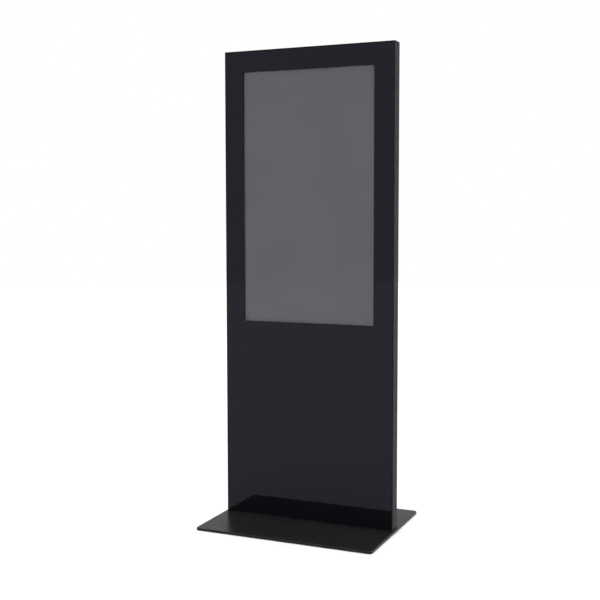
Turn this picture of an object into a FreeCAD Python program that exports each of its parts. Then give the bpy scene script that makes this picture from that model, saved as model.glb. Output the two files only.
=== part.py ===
"""Free-standing portrait touchscreen kiosk: a slim glazed body on a flat steel floor plate.

Units are millimetres. +X is to the right seen from the front, the glass faces -Y and +Z is up.
The origin is on the floor, under the middle of the floor plate.
Each sub-part is written to parts/NODE.step.
"""

import FreeCAD, Part
import math
import os

V = FreeCAD.Vector

# ---------------------------------------------------------------- driving dimensions
TOTAL_HEIGHT = 1770.0          # floor to top of the body
BODY_WIDTH = 676.0
BODY_DEPTH = 50.0
SETBACK = 240.0                # front edge of the floor plate to the front of the glass
PLATE_WIDTH = 688.0
PLATE_DEPTH = 522.0
PLATE_THICK = 8.0
PLATE_CORNER = 12.0
PAD_THICK = 2.0
ACTIVE_WIDTH = 529.0           # picture area of a 43 inch panel stood on end
ACTIVE_HEIGHT = 941.0
WINDOW_OVERLAP = 4.0           # how far the glass's printed border laps over the picture area
WINDOW_TOP = 1690.0
WALL = 3.0                     # outer wall of the frame extrusion
LEDGE = 14.0                   # inward reach of the two inner ledges
LEDGE_THICK = 2.0
GLASS_THICK = 4.0
GLASS_GAP = 1.0                # joint between glass and frame wall
TAPE_THICK = 1.0
PANEL_HEIGHT = 200.0           # fixed connection panel below the rear door
DOOR_GAP = 3.0                 # joint round the rear door
SHEET = 1.5                    # rear door and tray sheet
DOOR_FLANGE = 12.0
BARREL_R = 4.5                 # hinge barrel radius
RUNNING = 0.06                 # radial clearance of shafts and pins

# ---------------------------------------------------------------- worked-out positions
FLOOR_TOP = PAD_THICK + PLATE_THICK
BODY_Z0 = FLOOR_TOP
BODY_Z1 = TOTAL_HEIGHT
HALF_W = BODY_WIDTH / 2
FRONT = -PLATE_DEPTH / 2 + SETBACK
BACK = FRONT + BODY_DEPTH
INNER_W = HALF_W - WALL
GLASS_BACK = FRONT + GLASS_THICK
LEDGE_F = GLASS_BACK + TAPE_THICK           # front face of the front ledge
LEDGE_F1 = LEDGE_F + LEDGE_THICK            # its rear face
DOOR_REAR = BACK
DOOR_INNER = DOOR_REAR - SHEET
FLANGE_END = DOOR_INNER - DOOR_FLANGE       # inner edge of the door's folded edge
GASKET_THICK = 2.5
LEDGE_R1 = FLANGE_END - GASKET_THICK        # rear face of the rear ledge
LEDGE_R = LEDGE_R1 - LEDGE_THICK            # its front face
WINDOW_WIDTH = ACTIVE_WIDTH - 2 * WINDOW_OVERLAP
WINDOW_HEIGHT = ACTIVE_HEIGHT - 2 * WINDOW_OVERLAP
WINDOW_BOTTOM = WINDOW_TOP - WINDOW_HEIGHT
WINDOW_MID_Z = WINDOW_BOTTOM + WINDOW_HEIGHT / 2
DOOR_Z0 = BODY_Z0 + WALL + PANEL_HEIGHT + DOOR_GAP
DOOR_Z1 = BODY_Z1 - WALL - 1.5
DOOR_X = INNER_W - DOOR_GAP                 # half width of the door
HINGE_X = -HALF_W + 5.0
HINGE_Y = BACK + BARREL_R + 0.7


def box(x0, x1, y0, y1, z0, z1):
    """Box between two corners."""
    return Part.makeBox(x1 - x0, y1 - y0, z1 - z0, V(x0, y0, z0))


def rod(x, y, z, radius, length, axis):
    """Cylinder from a point along an axis."""
    return Part.makeCylinder(radius, length, V(x, y, z), axis)


def rod_y(x, z, radius, y0, y1):
    return rod(x, y0, z, radius, y1 - y0, V(0, 1, 0))


def rod_z(x, y, radius, z0, z1):
    return rod(x, y, z0, radius, z1 - z0, V(0, 0, 1))


def union(first, *others):
    """One clean solid from touching solids."""
    return first.fuse(list(others)).removeSplitter()


def group(solids):
    """Several separate solids in one node."""
    return Part.makeCompound(solids)


def edges_along(shape, axis):
    """Straight edges of a shape that run along X (0), Y (1) or Z (2)."""
    found = []
    for edge in shape.Edges:
        if edge.Curve.TypeId != "Part::GeomLine":
            continue
        step = edge.Vertexes[-1].Point - edge.Vertexes[0].Point
        parts = [abs(step.x), abs(step.y), abs(step.z)]
        if parts[axis] > 0.999 * step.Length:
            found.append(edge)
    return found


def rounded_box(x0, x1, y0, y1, z0, z1, radius, axis):
    """Box with the edges along one axis rounded."""
    shape = box(x0, x1, y0, y1, z0, z1)
    return shape.makeFillet(radius, edges_along(shape, axis))


def soften(shape, radius, low, high):
    """Round the edges whose middles lie inside a box."""
    chosen = []
    for edge in shape.Edges:
        box_mid = edge.BoundBox.Center
        inside = low.x <= box_mid.x <= high.x and low.y <= box_mid.y <= high.y
        if inside and low.z <= box_mid.z <= high.z:
            chosen.append(edge)
    return shape.makeFillet(radius, chosen)


def mirrored_x(shape):
    return shape.mirror(V(0, 0, 0), V(1, 0, 0))


def countersunk_screw(point, axis, head_r, shank_r, length):
    """Screw with a flat conical head: the head's face is at the point, the axis runs down the shank."""
    head_h = head_r - shank_r
    head = Part.makeCone(head_r, shank_r, head_h, point, axis)
    shank = Part.makeCylinder(shank_r, length - head_h, point + axis * head_h, axis)
    socket = Part.makeCylinder(shank_r * 0.55, head_h * 0.7, point, axis)
    return union(head, shank).cut(socket)


def pan_screw(point, axis, head_r, shank_r, length):
    """Screw with a low round head that stands on the point, and a recess in the head."""
    head_h = head_r * 0.6
    head = Part.makeCylinder(head_r, head_h, point - axis * head_h, axis)
    rim = [edge for edge in head.Edges if edge.Curve.TypeId == "Part::GeomCircle"]
    outer = min(rim, key=lambda edge: (edge.Curve.Center - point).dot(axis))
    head = head.makeFillet(head_h * 0.45, [outer])
    shank = Part.makeCylinder(shank_r, length, point, axis)
    recess = Part.makeCylinder(head_r * 0.42, head_h * 0.55, point - axis * head_h, axis)
    return union(head, shank).cut(recess)


# ---------------------------------------------------------------- floor plate
FOOT_SCREW_X = [HALF_W - 33.0, HALF_W - 73.0]
FOOT_Y = (LEDGE_F1 + LEDGE_R) / 2
FOOT_SCREW_R = 5.0
FOOT_HEAD_R = 9.0


def base_plate():
    half_w = PLATE_WIDTH / 2
    half_d = PLATE_DEPTH / 2
    plate = rounded_box(-half_w, half_w, -half_d, half_d, PAD_THICK, FLOOR_TOP, PLATE_CORNER, 2)
    for z, radius in ((FLOOR_TOP, 1.0), (PAD_THICK, 0.6)):
        low = V(-half_w - 1, -half_d - 1, z - 0.01)
        high = V(half_w + 1, half_d + 1, z + 0.01)
        plate = soften(plate, radius, low, high)
    for x in FOOT_SCREW_X:
        for side in (-1, 1):
            hole = rod_z(side * x, FOOT_Y, FOOT_SCREW_R + 0.4, PAD_THICK, FLOOR_TOP)
            sink = Part.makeCone(FOOT_HEAD_R + 0.4, FOOT_SCREW_R + 0.4, FOOT_HEAD_R - FOOT_SCREW_R,
                                 V(side * x, FOOT_Y, PAD_THICK), V(0, 0, 1))
            plate = plate.cut(hole).cut(sink)
    return plate


def foot_pads():
    reach_x = PLATE_WIDTH / 2 - 38
    reach_y = PLATE_DEPTH / 2 - 38
    pads = []
    for x in (-reach_x, 0, reach_x):
        for y in (-reach_y, reach_y):
            pads.append(rod_z(x, y, 20, 0, PAD_THICK))
    return group(pads)


def base_screws():
    screws = []
    for x in FOOT_SCREW_X:
        for side in (-1, 1):
            point = V(side * x, FOOT_Y, PAD_THICK)
            screws.append(countersunk_screw(point, V(0, 0, 1), FOOT_HEAD_R, FOOT_SCREW_R, 20))
    return group(screws)


BRACKET_HEIGHT = 220.0
BRACKET_REACH = 100.0
BRACKET_BAR = 13.0


def foot_bracket():
    """Right-hand steel bracket: a foot bar on the bottom profile and an upright in the side profile."""
    y0 = LEDGE_F1 + 0.5
    y1 = LEDGE_R
    z0 = BODY_Z0 + WALL
    foot = box(INNER_W - BRACKET_REACH, INNER_W, y0, y1, z0, z0 + BRACKET_BAR)
    upright = box(INNER_W - BRACKET_BAR, INNER_W, y0, y1, z0, z0 + BRACKET_HEIGHT)
    corner = [V(INNER_W - BRACKET_BAR, 0, z0 + BRACKET_BAR),
              V(INNER_W - BRACKET_REACH + 20, 0, z0 + BRACKET_BAR),
              V(INNER_W - BRACKET_BAR, 0, z0 + 120)]
    web = Part.Face(Part.makePolygon(corner + [corner[0]])).extrude(V(0, 6, 0))
    web.translate(V(0, FOOT_Y - 3, 0))
    bracket = union(foot, upright, web)
    for x in FOOT_SCREW_X:
        bracket = bracket.cut(rod_z(x, FOOT_Y, FOOT_SCREW_R, z0, z0 + BRACKET_BAR))
    for z in BRACKET_SCREW_Z:
        bracket = bracket.cut(rod_y(LEDGE_SCREW_X, z, 2.5, y1 - 12, y1))
    return bracket


LEDGE_SCREW_X = INNER_W - LEDGE / 2
BRACKET_SCREW_Z = [90.0, 200.0]


def foot_brackets():
    right = foot_bracket()
    return group([right, mirrored_x(right)])


# ---------------------------------------------------------------- frame of mitred extrusions
RAIL_Z = [860.0, 1580.0]
RAIL_HALF = 20.0
TRAY_Z = [245.0, 705.0]
FAN_Z = BODY_Z1 - WALL - 38.0
FAN_X = [-110.0, 0.0, 110.0]
FAN_SIZE = 50.0
FAN_DEPTH = 12.0
FAN_SCREW_REACH = FAN_SIZE / 2 - 5.0


def extrusion(length):
    """Frame extrusion along +Z from the origin: outer face at x = 0, ledges inwards along +X."""
    wall = box(0, WALL, FRONT, BACK, 0, length)
    low = V(-0.1, FRONT - 1, 1)
    wall = soften(wall, 0.8, low, V(0.1, BACK + 1, length - 1))
    front = box(WALL, WALL + LEDGE, LEDGE_F, LEDGE_F1, 0, length)
    rear = box(WALL, WALL + LEDGE, LEDGE_R, LEDGE_R1, 0, length)
    bar = union(wall, front, rear)
    reach = WALL + LEDGE
    mitre = [V(0, FRONT, 0), V(0, FRONT, length), V(reach, FRONT, length - reach), V(reach, FRONT, reach)]
    keep = Part.Face(Part.makePolygon(mitre + [mitre[0]])).extrude(V(0, BODY_DEPTH, 0))
    return bar.common(keep)


def ledge_hole(x, z):
    """Countersunk hole through the rear ledge of a side profile."""
    through = rod_y(x, z, 2.1, LEDGE_R - 1, LEDGE_R1 + 1)
    sink = Part.makeCone(4.1, 2.1, 2.0, V(x, LEDGE_R1, z), V(0, -1, 0))
    return through.fuse(sink)


def rail_screw_z():
    found = []
    for z in RAIL_Z:
        found += [z - 12, z + 12]
    return found


def frame_side():
    """Left-hand upright."""
    side = extrusion(BODY_Z1 - BODY_Z0)
    side.translate(V(-HALF_W, 0, BODY_Z0))
    for z in rail_screw_z() + BRACKET_SCREW_Z:
        side = side.cut(ledge_hole(-LEDGE_SCREW_X, z))
    return side


def frame_left():
    return frame_side()


def frame_right():
    return mirrored_x(frame_side())


def frame_cross():
    """Cross member with its outer face at z = 0 and its ledges upwards."""
    bar = extrusion(BODY_WIDTH)
    bar = bar.mirror(V(0, 0, 0), V(1, 0, -1))
    bar.translate(V(-HALF_W, 0, 0))
    return bar


def frame_bottom():
    bar = frame_cross()
    bar.translate(V(0, 0, BODY_Z0))
    for x in FOOT_SCREW_X:
        for side in (-1, 1):
            bar = bar.cut(rod_z(side * x, FOOT_Y, FOOT_SCREW_R + 0.4, BODY_Z0 - 1, BODY_Z0 + WALL + 1))
    return bar


def frame_top():
    bar = frame_cross().mirror(V(0, 0, 0), V(0, 0, 1))
    bar.translate(V(0, 0, BODY_Z1))
    for x in FAN_BRACKET_SCREW_X:
        bar = bar.cut(ledge_hole(x, BODY_Z1 - WALL - LEDGE / 2))
    return bar


FAN_BRACKET_SCREW_X = [-175.0, -55.0, 55.0, 175.0]
CLEAT_ARM = 42.0
CLEAT_BAR = 8.0


def corner_cleat(side):
    """Angle block in an upper corner of the frame, at the left (-1) or right (1)."""
    x_out = INNER_W
    z_out = BODY_Z1 - WALL
    y0 = LEDGE_F1 + 0.5
    y1 = LEDGE_R - 0.5
    arm = box(x_out - CLEAT_ARM, x_out, y0, y1, z_out - CLEAT_BAR, z_out)
    leg = box(x_out - CLEAT_BAR, x_out, y0, y1, z_out - CLEAT_ARM, z_out)
    cleat = union(arm, leg)
    for offset in (18.0, 33.0):
        cleat = cleat.cut(rod_z(x_out - offset, FOOT_Y, 2.5, z_out - CLEAT_BAR - 1, z_out + 1))
        cleat = cleat.cut(rod(x_out - CLEAT_BAR - 1, FOOT_Y, z_out - offset, 2.5, CLEAT_BAR + 2, V(1, 0, 0)))
    return cleat if side > 0 else mirrored_x(cleat)


def corner_cleats():
    return group([corner_cleat(-1), corner_cleat(1)])


def cleat_screws():
    """Set screws that jam the cleats against the walls of the profiles."""
    screws = []
    for offset in (18.0, 33.0):
        across = INNER_W - offset
        down = BODY_Z1 - WALL - offset
        for side in (-1, 1):
            screws.append(rod_z(side * across, FOOT_Y, 2.5, BODY_Z1 - WALL - CLEAT_BAR, BODY_Z1 - WALL))
            start = side * (INNER_W - CLEAT_BAR)
            screws.append(rod(start, FOOT_Y, down, 2.5, CLEAT_BAR, V(side, 0, 0)))
    return group([cut_hex(screw) for screw in screws])


def cut_hex(screw):
    """Grub screw with a hexagon socket in its inner end."""
    box_mid = screw.BoundBox.Center
    along_z = screw.BoundBox.ZLength > screw.BoundBox.XLength
    if along_z:
        face_point = V(box_mid.x, box_mid.y, screw.BoundBox.ZMin)
        axis = V(0, 0, 1)
    else:
        inner = screw.BoundBox.XMin if box_mid.x > 0 else screw.BoundBox.XMax
        face_point = V(inner, box_mid.y, box_mid.z)
        axis = V(1 if box_mid.x > 0 else -1, 0, 0)
    return screw.cut(Part.makeCylinder(1.3, 3.0, face_point, axis))


# ---------------------------------------------------------------- glazing and touch foil
GLASS_X = INNER_W - GLASS_GAP
GLASS_Z0 = BODY_Z0 + WALL + GLASS_GAP
GLASS_Z1 = BODY_Z1 - WALL - GLASS_GAP


def front_glass():
    pane = rounded_box(-GLASS_X, GLASS_X, FRONT, GLASS_BACK, GLASS_Z0, GLASS_Z1, 1.5, 1)
    low = V(-GLASS_X - 1, FRONT - 0.01, GLASS_Z0 - 1)
    return soften(pane, 0.5, low, V(GLASS_X + 1, FRONT + 0.01, GLASS_Z1 + 1))


def glass_tape():
    """Four strips of foam tape between the glass and the front ledges."""
    width = LEDGE - GLASS_GAP - 1
    y0 = GLASS_BACK
    y1 = LEDGE_F
    upright = box(GLASS_X - width, GLASS_X, y0, y1, GLASS_Z0, GLASS_Z1)
    inner = GLASS_X - width
    low = box(-inner, inner, y0, y1, GLASS_Z0, GLASS_Z0 + width)
    high = box(-inner, inner, y0, y1, GLASS_Z1 - width, GLASS_Z1)
    return group([upright, mirrored_x(upright), low, high])


SENSOR_THICK = 0.4
SENSOR_MARGIN = 10.0


def touch_sensor():
    """Touch foil bonded behind the window, with its tail leading down to the controller."""
    half = WINDOW_WIDTH / 2 + SENSOR_MARGIN
    z0 = WINDOW_BOTTOM - SENSOR_MARGIN
    foil = box(-half, half, GLASS_BACK, GLASS_BACK + SENSOR_THICK, z0, z0 + WINDOW_HEIGHT + 2 * SENSOR_MARGIN)
    tail = box(TOUCH_X - 20, TOUCH_X + 20, GLASS_BACK, GLASS_BACK + SENSOR_THICK, TOUCH_Z + 5, z0)
    return union(foil, tail)


TOUCH_X = 30.0
TOUCH_Z = 690.0


def touch_controller():
    """Controller board under the display, on the tray: board, chip, two sockets."""
    y0 = TRAY_BACK + 3
    board = box(TOUCH_X - 45, TOUCH_X + 45, y0, y0 + 1.6, TOUCH_Z - 18, TOUCH_Z + 12)
    chip = box(TOUCH_X - 8, TOUCH_X + 8, y0 + 1.6, y0 + 3, TOUCH_Z - 12, TOUCH_Z + 4)
    tail_socket = box(TOUCH_X - 21, TOUCH_X + 21, y0 + 1.6, y0 + 4, TOUCH_Z + 6, TOUCH_Z + 12)
    usb_socket = box(TOUCH_X - 45, TOUCH_X - 35, y0 + 1.6, y0 + 8.6, TOUCH_Z - 10, TOUCH_Z + 4)
    posts = [rod_y(TOUCH_X + x, TOUCH_Z - 14, 2.5, TRAY_BACK, y0) for x in (-40, 40)]
    return union(board, chip, tail_socket, usb_socket, *posts)


# ---------------------------------------------------------------- display module
LCD_X = ACTIVE_WIDTH / 2 + 15
LCD_Z = ACTIVE_HEIGHT / 2 + 12
LCD_FRONT = GLASS_BACK + SENSOR_THICK + 0.3
LCD_BACK = LCD_FRONT + 13.0


def lcd_ring(inner_x, inner_z, y0, y1, outer_x, outer_z):
    outer = box(-outer_x, outer_x, y0, y1, WINDOW_MID_Z - outer_z, WINDOW_MID_Z + outer_z)
    inner = box(-inner_x, inner_x, y0 - 1, y1 + 1, WINDOW_MID_Z - inner_z, WINDOW_MID_Z + inner_z)
    return outer.cut(inner)


def lcd_bezel():
    """Pressed steel bezel: a face flange over the cell's edge and a skirt round the module."""
    face = lcd_ring(ACTIVE_WIDTH / 2 + 1, ACTIVE_HEIGHT / 2 + 1, LCD_FRONT, LCD_FRONT + 0.8, LCD_X, LCD_Z)
    skirt = lcd_ring(LCD_X - 0.8, LCD_Z - 0.8, LCD_FRONT, LCD_BACK - 3, LCD_X, LCD_Z)
    return union(face, skirt)


def lcd_cell():
    half_x = LCD_X - 3
    half_z = LCD_Z - 3
    y0 = LCD_FRONT + 0.8
    return box(-half_x, half_x, y0, y0 + 1.8, WINDOW_MID_Z - half_z, WINDOW_MID_Z + half_z)


def light_guide():
    """Acrylic light guide with its diffuser sheets, behind the cell."""
    half_x = LCD_X - 5
    half_z = LCD_Z - 5
    y0 = LCD_FRONT + 2.6
    return box(-half_x, half_x, y0, y0 + 6.0, WINDOW_MID_Z - half_z, WINDOW_MID_Z + half_z)


def lcd_chassis():
    """Folded backlight tray with pressed ribs and a raised pad for the boards."""
    half_x = LCD_X - 1
    half_z = LCD_Z - 1
    y0 = LCD_FRONT + 2.6
    y1 = LCD_BACK - 1.5
    tray = lcd_ring(half_x - 1.2, half_z - 1.2, y0, y1, half_x, half_z)
    floor = box(-half_x, half_x, y1 - 1.2, y1, WINDOW_MID_Z - half_z, WINDOW_MID_Z + half_z)
    ribs = [floor]
    for side in (-1, 1):
        x = side * (half_x - 45)
        ribs.append(rounded_box(x - 9, x + 9, y1, LCD_BACK, WINDOW_MID_Z - half_z + 40,
                                WINDOW_MID_Z + half_z - 40, 8, 1))
    ribs.append(rounded_box(-170, 170, y1, LCD_BACK, WINDOW_MID_Z - 250, WINDOW_MID_Z + 250, 14, 1))
    return union(tray, *ribs)


def standoffs(x_list, z_list, y0, y1):
    return [rod_y(x, z, 3, y0, y1) for x in x_list for z in z_list]


SCALER_Z = 1060.0
DRIVER_Z = 1330.0


def scaler_board():
    """Display controller board: board, finned heat sink, memory, and connectors along its lower edge."""
    y0 = LCD_BACK + 3
    top = y0 + 1.6
    pieces = [box(-95, 95, y0, top, SCALER_Z - 60, SCALER_Z + 60)]
    pieces += standoffs((-88, 88), (SCALER_Z - 53, SCALER_Z + 53), LCD_BACK, y0)
    pieces.append(box(-22, 22, top, top + 3, SCALER_Z - 12, SCALER_Z + 32))
    for step in range(8):
        x = -21 + step * 5.6
        pieces.append(box(x, x + 2, top + 3, top + 9, SCALER_Z - 12, SCALER_Z + 32))
    pieces.append(box(-68, -52, top, top + 7, SCALER_Z - 60, SCALER_Z - 46))
    pieces.append(box(48, 62, top, top + 8, SCALER_Z - 60, SCALER_Z - 48))
    pieces.append(box(-75, -45, top, top + 1.6, SCALER_Z - 5, SCALER_Z + 15))
    pieces.append(box(40, 72, top, top + 2, SCALER_Z + 5, SCALER_Z + 30))
    pieces += [rod_y(x, SCALER_Z - 34, 4, top, top + 9) for x in (-30, -18, 30, 42)]
    return union(*pieces)


def backlight_driver():
    """Backlight driver board: board, transformer, coils, capacitors and its output socket."""
    y0 = LCD_BACK + 3
    top = y0 + 1.6
    pieces = [box(-110, 30, y0, top, DRIVER_Z - 45, DRIVER_Z + 45)]
    pieces += standoffs((-104, 24), (DRIVER_Z - 39, DRIVER_Z + 39), LCD_BACK, y0)
    pieces.append(box(-90, -58, top, top + 10, DRIVER_Z - 18, DRIVER_Z + 14))
    pieces += [rod_y(x, DRIVER_Z + 20, 6, top, top + 9) for x in (-38, -20, -2)]
    pieces += [box(x, x + 14, top, top + 7, DRIVER_Z - 28, DRIVER_Z - 14) for x in (-44, -24, -4)]
    pieces.append(box(8, 26, top, top + 6, DRIVER_Z - 10, DRIVER_Z + 12))
    return union(*pieces)


def cross_rail(z):
    """Channel rail between the side profiles: its web carries the display, its ends meet the ledges."""
    y0 = LCD_BACK
    y1 = LEDGE_R
    reach = INNER_W - 1
    web = box(-reach, reach, y0, y0 + 1.5, z - RAIL_HALF, z + RAIL_HALF)
    upper = box(-reach, reach, y0, y1, z + RAIL_HALF - 1.5, z + RAIL_HALF)
    lower = box(-reach, reach, y0, y1, z - RAIL_HALF, z - RAIL_HALF + 1.5)
    ends = []
    for side in (-1, 1):
        low = min(side * reach, side * (reach - LEDGE + 1))
        high = max(side * reach, side * (reach - LEDGE + 1))
        ends.append(box(low, high, y1 - 4, y1, z - RAIL_HALF, z + RAIL_HALF))
    rail = union(web, upper, lower, *ends)
    for offset in (-12, 12):
        for side in (-1, 1):
            rail = rail.cut(rod_y(side * LEDGE_SCREW_X, z + offset, 2.0, y1 - 4, y1 + 1))
    return rail


def lcd_rails():
    return group([cross_rail(z) for z in RAIL_Z])


def ledge_screws():
    """Countersunk screws through the rear ledges, into the rails, the foot brackets and the fan bracket."""
    screws = []
    for side in (-1, 1):
        for z in rail_screw_z():
            screws.append(countersunk_screw(V(side * LEDGE_SCREW_X, LEDGE_R1, z), V(0, -1, 0), 4.0, 2.0, 6))
        for z in BRACKET_SCREW_Z:
            screws.append(countersunk_screw(V(side * LEDGE_SCREW_X, LEDGE_R1, z), V(0, -1, 0), 4.0, 2.0, 12))
    for x in FAN_BRACKET_SCREW_X:
        point = V(x, LEDGE_R1, BODY_Z1 - WALL - LEDGE / 2)
        screws.append(countersunk_screw(point, V(0, -1, 0), 4.0, 2.0, 3.5))
    return group(screws)


# ---------------------------------------------------------------- electronics tray
TRAY_FRONT = LEDGE_F1
TRAY_BACK = TRAY_FRONT + SHEET
TRAY_X = INNER_W - 1.5
TRAY_SCREW_Z = [260.0, 475.0, 690.0]


def electronics_tray():
    tray = box(-TRAY_X, TRAY_X, TRAY_FRONT, TRAY_BACK, TRAY_Z[0], TRAY_Z[1])
    for z in TRAY_SCREW_Z:
        for side in (-1, 1):
            tray = tray.cut(rod_y(side * LEDGE_SCREW_X, z, 2.2, TRAY_FRONT - 1, TRAY_BACK + 1))
    for x in (-200, 0, 200):
        slot = rounded_box(x - 30, x + 30, TRAY_FRONT - 1, TRAY_BACK + 1, 262, 272, 4.9, 1)
        tray = tray.cut(slot)
    return tray


def tray_screws():
    screws = []
    for z in TRAY_SCREW_Z:
        for side in (-1, 1):
            screws.append(pan_screw(V(side * LEDGE_SCREW_X, TRAY_BACK, z), V(0, -1, 0), 4.0, 2.0, SHEET))
    return group(screws)


PLAYER_X = [-270.0, -80.0]
PLAYER_Z = [470.0, 620.0]
PLAYER_Y = [TRAY_BACK + 4, TRAY_BACK + 28]
BUTTON_X = -102.0
BUTTON_Z = 495.0
BUTTON_R = 5.0
HDMI_X = -190.0
USB_X = -110.0
LAN_X = -200.0
DC_X = -130.0
PORT_Y = (PLAYER_Y[0] + PLAYER_Y[1]) / 2


def media_player():
    """Small fanless computer: finned case with sockets in its top and bottom, and a button recess."""
    case = rounded_box(PLAYER_X[0], PLAYER_X[1], PLAYER_Y[0], PLAYER_Y[1], PLAYER_Z[0], PLAYER_Z[1], 4, 1)
    for step in range(12):
        x = PLAYER_X[0] + 20 + step * 10
        case = case.cut(box(x, x + 4, PLAYER_Y[1] - 4, PLAYER_Y[1] + 1, PLAYER_Z[0] + 45, PLAYER_Z[1] - 12))
    case = case.cut(rod_y(BUTTON_X, BUTTON_Z, BUTTON_R + 0.3, PLAYER_Y[1] - 6, PLAYER_Y[1] + 1))
    for x, width, thick in ((HDMI_X, 15.5, 5.5), (USB_X, 13.5, 6.0)):
        case = case.cut(box(x - width / 2, x + width / 2, PORT_Y - thick / 2, PORT_Y + thick / 2,
                            PLAYER_Z[1] - 12, PLAYER_Z[1] + 1))
    case = case.cut(box(LAN_X - 6.5, LAN_X + 6.5, PORT_Y - 5, PORT_Y + 5, PLAYER_Z[0] - 1, PLAYER_Z[0] + 12))
    case = case.cut(rod_z(DC_X, PORT_Y, 3.6, PLAYER_Z[0] - 1, PLAYER_Z[0] + 12))
    feet = [box(x - 8, x + 8, TRAY_BACK, PLAYER_Y[0], z - 8, z + 8)
            for x in (PLAYER_X[0] + 15, PLAYER_X[1] - 15) for z in (PLAYER_Z[0] + 15, PLAYER_Z[1] - 15)]
    return union(case, *feet)


def power_button():
    """Round push button: a cap proud of the case on a short stem."""
    cap = rod_y(BUTTON_X, BUTTON_Z, BUTTON_R, PLAYER_Y[1] - 3.5, PLAYER_Y[1] + 1.5)
    low = V(BUTTON_X - 9, PLAYER_Y[1] + 1.4, BUTTON_Z - 9)
    cap = soften(cap, 0.6, low, V(BUTTON_X + 9, PLAYER_Y[1] + 1.6, BUTTON_Z + 9))
    return union(cap, rod_y(BUTTON_X, BUTTON_Z, 2, PLAYER_Y[1] - 4.6, PLAYER_Y[1] - 3.5))


PSU_X = [90.0, 255.0]
PSU_Z = [470.0, 570.0]
PSU_BACK = TRAY_BACK + 24
PSU_OUT_X = 130.0
PSU_PLAYER_X = 110.0
PSU_IN_X = 230.0
PSU_LEAD_Y = TRAY_BACK + 10


def power_supply():
    """Enclosed power supply: perforated lid over a folded case, terminal recess along the bottom."""
    case = box(PSU_X[0], PSU_X[1], TRAY_BACK, PSU_BACK, PSU_Z[0], PSU_Z[1])
    case = case.cut(box(PSU_X[0] + 6, PSU_X[1] - 6, TRAY_BACK + 12, PSU_BACK + 1, PSU_Z[0] - 1, PSU_Z[0] + 16))
    strip = box(PSU_X[0] + 10, PSU_X[1] - 10, TRAY_BACK + 12, TRAY_BACK + 19, PSU_Z[0] + 4, PSU_Z[0] + 14)
    holes = []
    for row in range(5):
        for column in range(12):
            x = PSU_X[0] + 16 + column * 12
            z = PSU_Z[0] + 32 + row * 12
            holes.append(rod_y(x, z, 2.5, PSU_BACK - 1.5, PSU_BACK + 1))
    return union(case.cut(group(holes)), strip)


EARTH_X = 290.0
EARTH_Z = 440.0


def earth_stud():
    """Earth stud on the tray with its two nuts."""
    stud = rod_y(EARTH_X, EARTH_Z, 3, TRAY_BACK, TRAY_BACK + 18)
    nut_low = hexagon(EARTH_X, EARTH_Z, 5.5, TRAY_BACK, TRAY_BACK + 4)
    nut_high = hexagon(EARTH_X, EARTH_Z, 5.5, TRAY_BACK + 6.5, TRAY_BACK + 10.5)
    return union(stud, nut_low, nut_high)


def hexagon(x, z, radius, y0, y1):
    points = []
    for step in range(7):
        angle = math.radians(60 * step)
        points.append(V(x + radius * math.cos(angle), y0, z + radius * math.sin(angle)))
    return Part.Face(Part.makePolygon(points)).extrude(V(0, y1 - y0, 0))


# ---------------------------------------------------------------- fans
FAN_BACK = LEDGE_R - SHEET
FAN_FRONT = FAN_BACK - FAN_DEPTH
ROTOR_HUB = 13.0
FAN_BORE = FAN_SIZE / 2 - 2.0
ROTOR_TIP = FAN_BORE - 1.2


def fan_bracket():
    """Plate behind the top ledge with one opening per fan."""
    plate = box(-205, 205, FAN_BACK, LEDGE_R, FAN_Z - FAN_SIZE / 2 - 4, BODY_Z1 - WALL - 1)
    for x in FAN_X:
        plate = plate.cut(rod_y(x, FAN_Z, FAN_BORE, FAN_BACK - 1, LEDGE_R + 1))
    for x in FAN_BRACKET_SCREW_X:
        plate = plate.cut(rod_y(x, BODY_Z1 - WALL - LEDGE / 2, 2.1, FAN_BACK - 1, LEDGE_R + 1))
    for x, z in fan_screw_places():
        plate = plate.cut(rod_y(x, z, 1.8, FAN_BACK - 1, LEDGE_R + 1))
    return plate


def fan_screw_places():
    reach = FAN_SCREW_REACH
    return [(x + dx, FAN_Z + dz) for x in FAN_X for dx in (-reach, reach) for dz in (-reach, reach)]


def fan_frame(x):
    """Square fan housing: round duct, hub seat and four stator arms."""
    half = FAN_SIZE / 2
    frame = rounded_box(x - half, x + half, FAN_FRONT, FAN_BACK, FAN_Z - half, FAN_Z + half, 4, 1)
    frame = frame.cut(rod_y(x, FAN_Z, FAN_BORE, FAN_FRONT - 1, FAN_BACK + 1))
    seat = rod_y(x, FAN_Z, ROTOR_HUB, FAN_FRONT, FAN_FRONT + 2)
    arms = []
    for turn in range(4):
        arm = box(x + 10, x + FAN_BORE + 1, FAN_FRONT, FAN_FRONT + 2, FAN_Z - 2, FAN_Z + 2)
        arm.rotate(V(x, 0, FAN_Z), V(0, 1, 0), 45 + 90 * turn)
        arms.append(arm)
    frame = union(frame, seat, *arms)
    post = rod_y(x, FAN_Z, 2.5, FAN_FRONT + 2, FAN_FRONT + 9)
    frame = union(frame, post)
    for place_x, place_z in fan_screw_places():
        if abs(place_x - x) < half:
            frame = frame.cut(rod_y(place_x, place_z, 1.8, FAN_FRONT - 1, FAN_BACK + 1))
    return frame


def fan_frames():
    return group([fan_frame(x) for x in FAN_X])


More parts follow.
